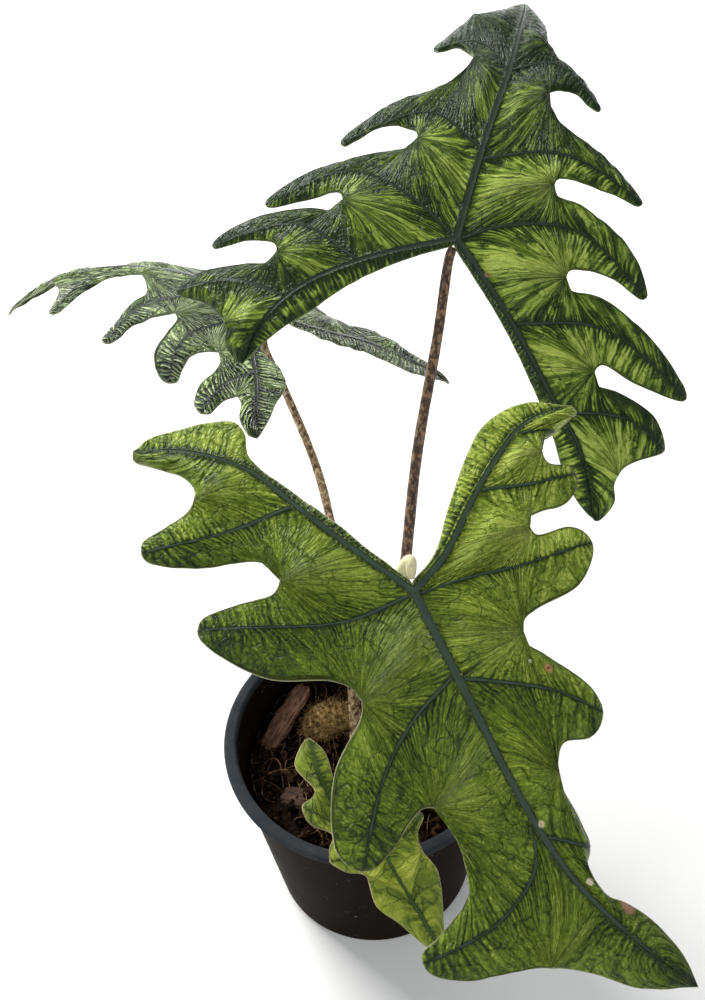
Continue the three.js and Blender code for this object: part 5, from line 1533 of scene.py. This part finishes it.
turn = around(SOIL_TURNS)
radius = (inner_radius(SOIL_LEVEL) - 1) * np.linspace(0, 1, SOIL_RINGS) ** 0.8
top_face = polar(radius[:, None], turn, 0)
lumps = 0.9 * lattice_noise(top_face, 3.2, 1) + 0.5 * lattice_noise(top_face, 1.5, 2)
top_face[..., 2] = soil_height(top_face[..., 0], top_face[..., 1]) + lumps
soil_foot = FLOOR + SOIL_INSET
wall_profile = [
    (inner_radius(SOIL_WALL_TOP) - SOIL_INSET, SOIL_WALL_TOP),
    (inner_radius(SOIL_WALL_FOOT) - SOIL_INSET, soil_foot),
    (0, soil_foot),
]
walls = [polar(r, turn, h)[None] for r, h in wall_profile]
rings = np.concatenate([top_face, *walls]).reshape(-1, 3)
cells = grid_cells(SOIL_RINGS + len(walls), SOIL_TURNS, close_rows=True)
dark_mix = mix_finish("dark damp mix", [
    (0.2, (0.0006, 0.0003, 0.0002)), (0.5, (0.0035, 0.0015, 0.0007)), (0.8, (0.016, 0.008, 0.0035)),
])
add_piece("mix_body", *closed(rings, cells), dark_mix, "potting_mix", ("potting_mix",))

# %% [markdown]
# ## Crumbs and fibres
# Loose crumbs by the hundred lie on the mix, each a small uneven ball of a few dozen faces, and coir
# fibres curl over them. Both start clear of the corm and stay inside the lip.

# %% Crumbs and fibres
CORM_CLEAR, MIX_RADIUS, CRUMB_REACH, FIBRE_REACH = 13, 54, 53.5, 54.5
FIBRE_STEPS, FIBRE_SIDES, FIBRE_CURL, FIBRE_HUG = 16, 4, 2.2, 0.9
THREAD_JOIN = 1e-4
rng = np.random.default_rng(7)


def on_the_mix(count):
    """Places on the mix, spread evenly over its round face, but not under the corm."""
    r = np.sqrt(rng.uniform((CORM_CLEAR / MIX_RADIUS) ** 2, 1, count)) * CRUMB_REACH
    a = rng.uniform(0, 2 * np.pi, count)
    x, y = r * np.cos(a), r * np.sin(a)
    return x, y, soil_height(x, y)


def ball(columns, rows):
    """A grid of points on a ball of radius 1, from its top down: sines and cosines of two angles."""
    down = np.linspace(0, np.pi, columns)[:, None]
    return polar(np.sin(down), around(rows), np.cos(down))


def crumb_shapes(count, small, large):
    """Small uneven balls: a coarse sphere, stretched by three numbers, dented by one wave and turned."""
    sphere, cells = closed(ball(6, 8).reshape(-1, 3), grid_cells(6, 8, close_rows=True))
    size = small + (large - small) * rng.random((count, 1, 1)) ** 2.5
    stretch = rng.uniform(0.45, 1.25, (count, 1, 3)) * size
    dent = 1 + 0.22 * np.sin(5 * sphere @ rng.normal(size=(3, count))).T[..., None]
    turns = np.linalg.qr(rng.normal(size=(count, 3, 3)))[0]
    turns *= np.sign(np.linalg.det(turns))[:, None, None]
    points = np.einsum("nij,nkj->nki", turns, sphere[None] * stretch * dent)
    x, y, z = on_the_mix(count)
    points += np.stack([x, y, z + 0.5], -1)[:, None]
    cells = cells[None] + (np.arange(count) * len(sphere))[:, None, None]
    return points.reshape(-1, 3), cells.reshape(-1, 3)


def fibre_shapes(count, thickness, length):
    """Thin curled threads: each walks ahead with a slowly changing heading and hugs the mix."""
    x, y, z = on_the_mix(count)
    t = np.linspace(0, 1, FIBRE_STEPS)
    step = (rng.uniform(*length, count) / FIBRE_STEPS)[:, None]
    heading = rng.uniform(0, 2 * np.pi, (count, 1)) + rng.normal(0, FIBRE_CURL, (count, 1)) * t
    heading = heading + 0.5 * np.sin(7 * t + rng.uniform(0, 6, (count, 1)))
    x = x[:, None] + np.cumsum(np.cos(heading) * step, axis=1)
    y = y[:, None] + np.cumsum(np.sin(heading) * step, axis=1)
    limit = FIBRE_REACH / np.maximum(FIBRE_REACH, np.hypot(x, y))
    x, y = x * limit, y * limit
    arch = rng.uniform(0.2, 3.2, (count, 1)) * np.sin(np.pi * t) ** 2
    z = soil_height(x, y) * FIBRE_HUG + z[:, None] * (1 - FIBRE_HUG) + 1 + arch
    width = np.sin(np.pi * np.linspace(0.06, 0.94, FIBRE_STEPS)) ** 0.4
    width = rng.uniform(*thickness, (count, 1)) * width
    return carried_rings(np.stack([x, y, z], -1), width, FIBRE_SIDES, (0, 0, 1))


crumb_mix = mix_finish("loose brown crumbs", [
    (0.2, (0.0007, 0.0003, 0.0002)), (0.45, (0.0032, 0.0014, 0.0006)),
    (0.62, (0.015, 0.007, 0.003)), (0.85, (0.08, 0.043, 0.02)),
])
points, cells = crumb_shapes(900, 0.5, 3.4)
add_piece("loose_crumbs", points, outward(points, cells), crumb_mix, "potting_mix")
coir = mix_finish("golden coir", [
    (0.2, (0.015, 0.007, 0.003)), (0.5, (0.085, 0.044, 0.016)), (0.8, (0.28, 0.16, 0.07)),
], 0.75)
fibres = closed(*fibre_shapes(130, (0.1, 0.26), (9, 34)), THREAD_JOIN)
add_piece("coir_fibres", *fibres, coir, "potting_mix")

# %% [markdown]
# ## Bark
# Split bark has a flat underside, a ridged top with long fibres, and broken ends. Each chip is a round
# section squared off by a power, carried along a straight line and roughened more across than along.

# %% Bark
BARK = (
    ("bark_long", (-38, 24, 88), (18.6, 5.2, 2.8), 58, -8,
     [(0.25, (0.03, 0.012, 0.007)), (0.5, (0.12, 0.053, 0.031)), (0.75, (0.28, 0.155, 0.1))]),
    ("bark_flat", (-32, -19, 84.5), (8.8, 5.8, 2.5), -20, 4,
     [(0.25, (0.012, 0.006, 0.004)), (0.5, (0.05, 0.024, 0.014)), (0.8, (0.13, 0.07, 0.045))]),
    ("bark_back", (16, 36, 85), (9.8, 5.8, 2.9), 15, -5,
     [(0.25, (0.015, 0.007, 0.005)), (0.5, (0.06, 0.03, 0.018)), (0.8, (0.16, 0.09, 0.06))]),
    ("bark_right", (34, 2, 84.5), (8.3, 5.3, 2.7), 75, 5,
     [(0.25, (0.012, 0.006, 0.004)), (0.5, (0.05, 0.026, 0.016)), (0.8, (0.14, 0.08, 0.05))]),
)


def about_upright(points, angle):
    """The points turned by that angle about the upright axis."""
    c, s = math.cos(angle), math.sin(angle)
    return points @ np.array([(c, s, 0), (-s, c, 0), (0, 0, 1)])


def squared(wave):
    """A sine or cosine pushed out towards a square by its square root."""
    return np.sign(wave) * np.abs(wave) ** 0.5


def chip_points(at, half, turn, lean, seed, columns=150, rows=84):
    """A squared-off section along a straight chip, with fibres and ragged ends, leaned and turned."""
    s = np.sin(np.linspace(-np.pi / 2, np.pi / 2, columns))[:, None]
    a = around(rows)[None]
    end = (1 - np.abs(s) ** 16) ** 0.5
    x = half[0] * s + 0 * a
    taper = 1 - 0.35 * s**2 * (0.6 + 0.4 * np.sin(at[0]))
    y = half[1] * taper * squared(np.cos(a)) * end
    z = half[2] * squared(np.sin(a)) * end
    grain = np.stack([x / 9, y, z], -1)
    fibres = 0.5 * lattice_noise(grain, 0.9, seed) + 0.35 * lattice_noise(grain, 0.45, seed + 1)
    broad = lattice_noise(np.stack([x, y, z], -1), 5, seed + 2)
    out = np.stack([0 * x, np.cos(a) + 0 * s, np.sin(a) + 0 * s], -1)
    ragged = lattice_noise(np.stack([0 * x + seed, y, z], -1), 1.6, seed + 3) * 1.4 * np.abs(s) ** 6
    points = np.stack([x + ragged, y, z + 0.25 * half[2] * np.sin(2 * s + 1)], -1)
    points += out * (0.75 * fibres + 0.45 * broad - 0.45)[..., None] * end[..., None]
    x, y, z = np.moveaxis(points, -1, 0)
    c, s = math.cos(math.radians(lean)), math.sin(math.radians(lean))
    leaned = np.stack([x * c + z * s, y, z * c - x * s], -1)
    points = about_upright(leaned, math.radians(turn)) + np.array(at)
    return points.reshape(-1, 3), grid_cells(columns, rows, close_rows=True)


def bark_finish(name, turn, colours):
    """Reddish brown fibres drawn out along the chip: the pattern is turned with it and stretched."""
    f = Finish(name, Specular_IOR_Level=0.3)
    place = f.node("Mapping", {"Vector": f.place(), "Rotation": (0, 0, -math.radians(turn))})
    fibres = f.noise(f.scaled(place, (0.1, 1, 1)), 1100, 5, 0.65, 0.3)
    broad = f.noise(place, 130, 3)
    pits = f.noise(place, 420, 3)
    tone = f.sum(-0.35, (fibres, 1.1), (broad, 0.45), (pits, 0.2))
    return f.finish(f.ramp(tone, colours), f.sum(0.6, (broad, 0.4)), ((fibres, 0.5), (pits, 0.3)))


for number, (name, at, half, turn, lean, colours) in enumerate(BARK):
    chip = closed(*chip_points(at, half, turn, lean, 11 + 5 * number))
    add_piece(name + "_chip", *chip, bark_finish(name + " fibres", turn, colours), "bark", (name,))

# %% [markdown]
# ## Moss and corm
# Dry moss is a cushion of tiny curled shoots. A lumpy stretched ball makes the cushion, and short threads
# that start on it and bend over make the shoots. The corm is the rough short stem that all stalks grow
# from, with ring-like scars of old leaves; the front leaf hides most of it.

# %% Moss and corm
MOSS_AT, MOSS_HALF, MOSS_TURN = np.array([-19, 22, 85.0]), (13.6, 10.6, 6.0), math.radians(30)
SHOOT_STEPS, SHOOT_SIDES, SHOOT_RADIUS = 6, 3, 0.34
CORM_PROFILE = [
    (0, 62, 0), (8.4, 62, 1), (12, 70, 3), (12, 87, 3), (10.8, 91, 2), (7.2, 93.6, 2), (0, 93.6, 0),
]
CORM_TURNS, CORM_STEP, CORM_SWELL = 96, 0.5, 14


def moss_cushion(columns=90, rows=120):
    """A stretched ball with rounded knobs at two sizes, turned about the upright axis."""
    sphere = ball(columns, rows)
    points = sphere * MOSS_HALF
    knobs = 0.9 * np.abs(lattice_noise(points, 3.0, 31)) + 0.35 * lattice_noise(points, 1.2, 32)
    points = about_upright(points + sphere * (knobs - 0.7)[..., None], MOSS_TURN)
    return (points + MOSS_AT).reshape(-1, 3), grid_cells(columns, rows, close_rows=True)


def moss_shoots(count):
    """Short tapering threads that leave the cushion outwards and bend over sideways."""
    up = rng.uniform(0.05, 1, count)
    out = polar(np.sqrt(1 - up**2), rng.uniform(0, 2 * np.pi, count), up)
    root = about_upright(out * MOSS_HALF, MOSS_TURN)
    out = about_upright(out, MOSS_TURN)
    sideways = rng.normal(size=(count, 3))
    sideways /= np.linalg.norm(sideways, axis=1, keepdims=True)
    t = np.linspace(0, 1, SHOOT_STEPS)
    size = rng.uniform(1.2, 3.2, (count, 1, 1))
    bent = 0.7 * t[:, None] * out[:, None] + 0.9 * t[:, None] ** 2 * sideways[:, None]
    spines = MOSS_AT + (root * 0.94)[:, None] + size * bent
    return carried_rings(spines, SHOOT_RADIUS * (1 - 0.8 * t), SHOOT_SIDES, (0.3, 0.2, 1))


dry_moss = mix_finish("dry olive moss", [
    (0.2, (0.018, 0.01, 0.004)), (0.45, (0.12, 0.073, 0.026)),
    (0.65, (0.26, 0.165, 0.062)), (0.9, (0.46, 0.32, 0.15)),
], 0.95)
tuft = closed(*gather([moss_cushion(), moss_shoots(520)]), THREAD_JOIN)
add_piece("moss_tuft", *tuft, dry_moss, "moss", ("moss",))

points, cells = turned(split_long(rounded_profile(CORM_PROFILE), CORM_STEP), CORM_TURNS)
scars = 0.35 * np.sin(points[:, 2] * 2.4 + 2 * np.arctan2(points[:, 1], points[:, 0]))
swell = (scars + 0.6 * lattice_noise(points, 2.2, 41) - 0.7) / CORM_SWELL
points = points * (1 + swell[:, None] * np.array([1, 1, 0]))
corm_skin = mix_finish("fibrous corm", [
    (0.2, (0.03, 0.018, 0.01)), (0.5, (0.1, 0.065, 0.033)), (0.85, (0.24, 0.18, 0.1)),
])
add_piece("corm_skin", *closed(points, cells), corm_skin, "corm", ("corm",))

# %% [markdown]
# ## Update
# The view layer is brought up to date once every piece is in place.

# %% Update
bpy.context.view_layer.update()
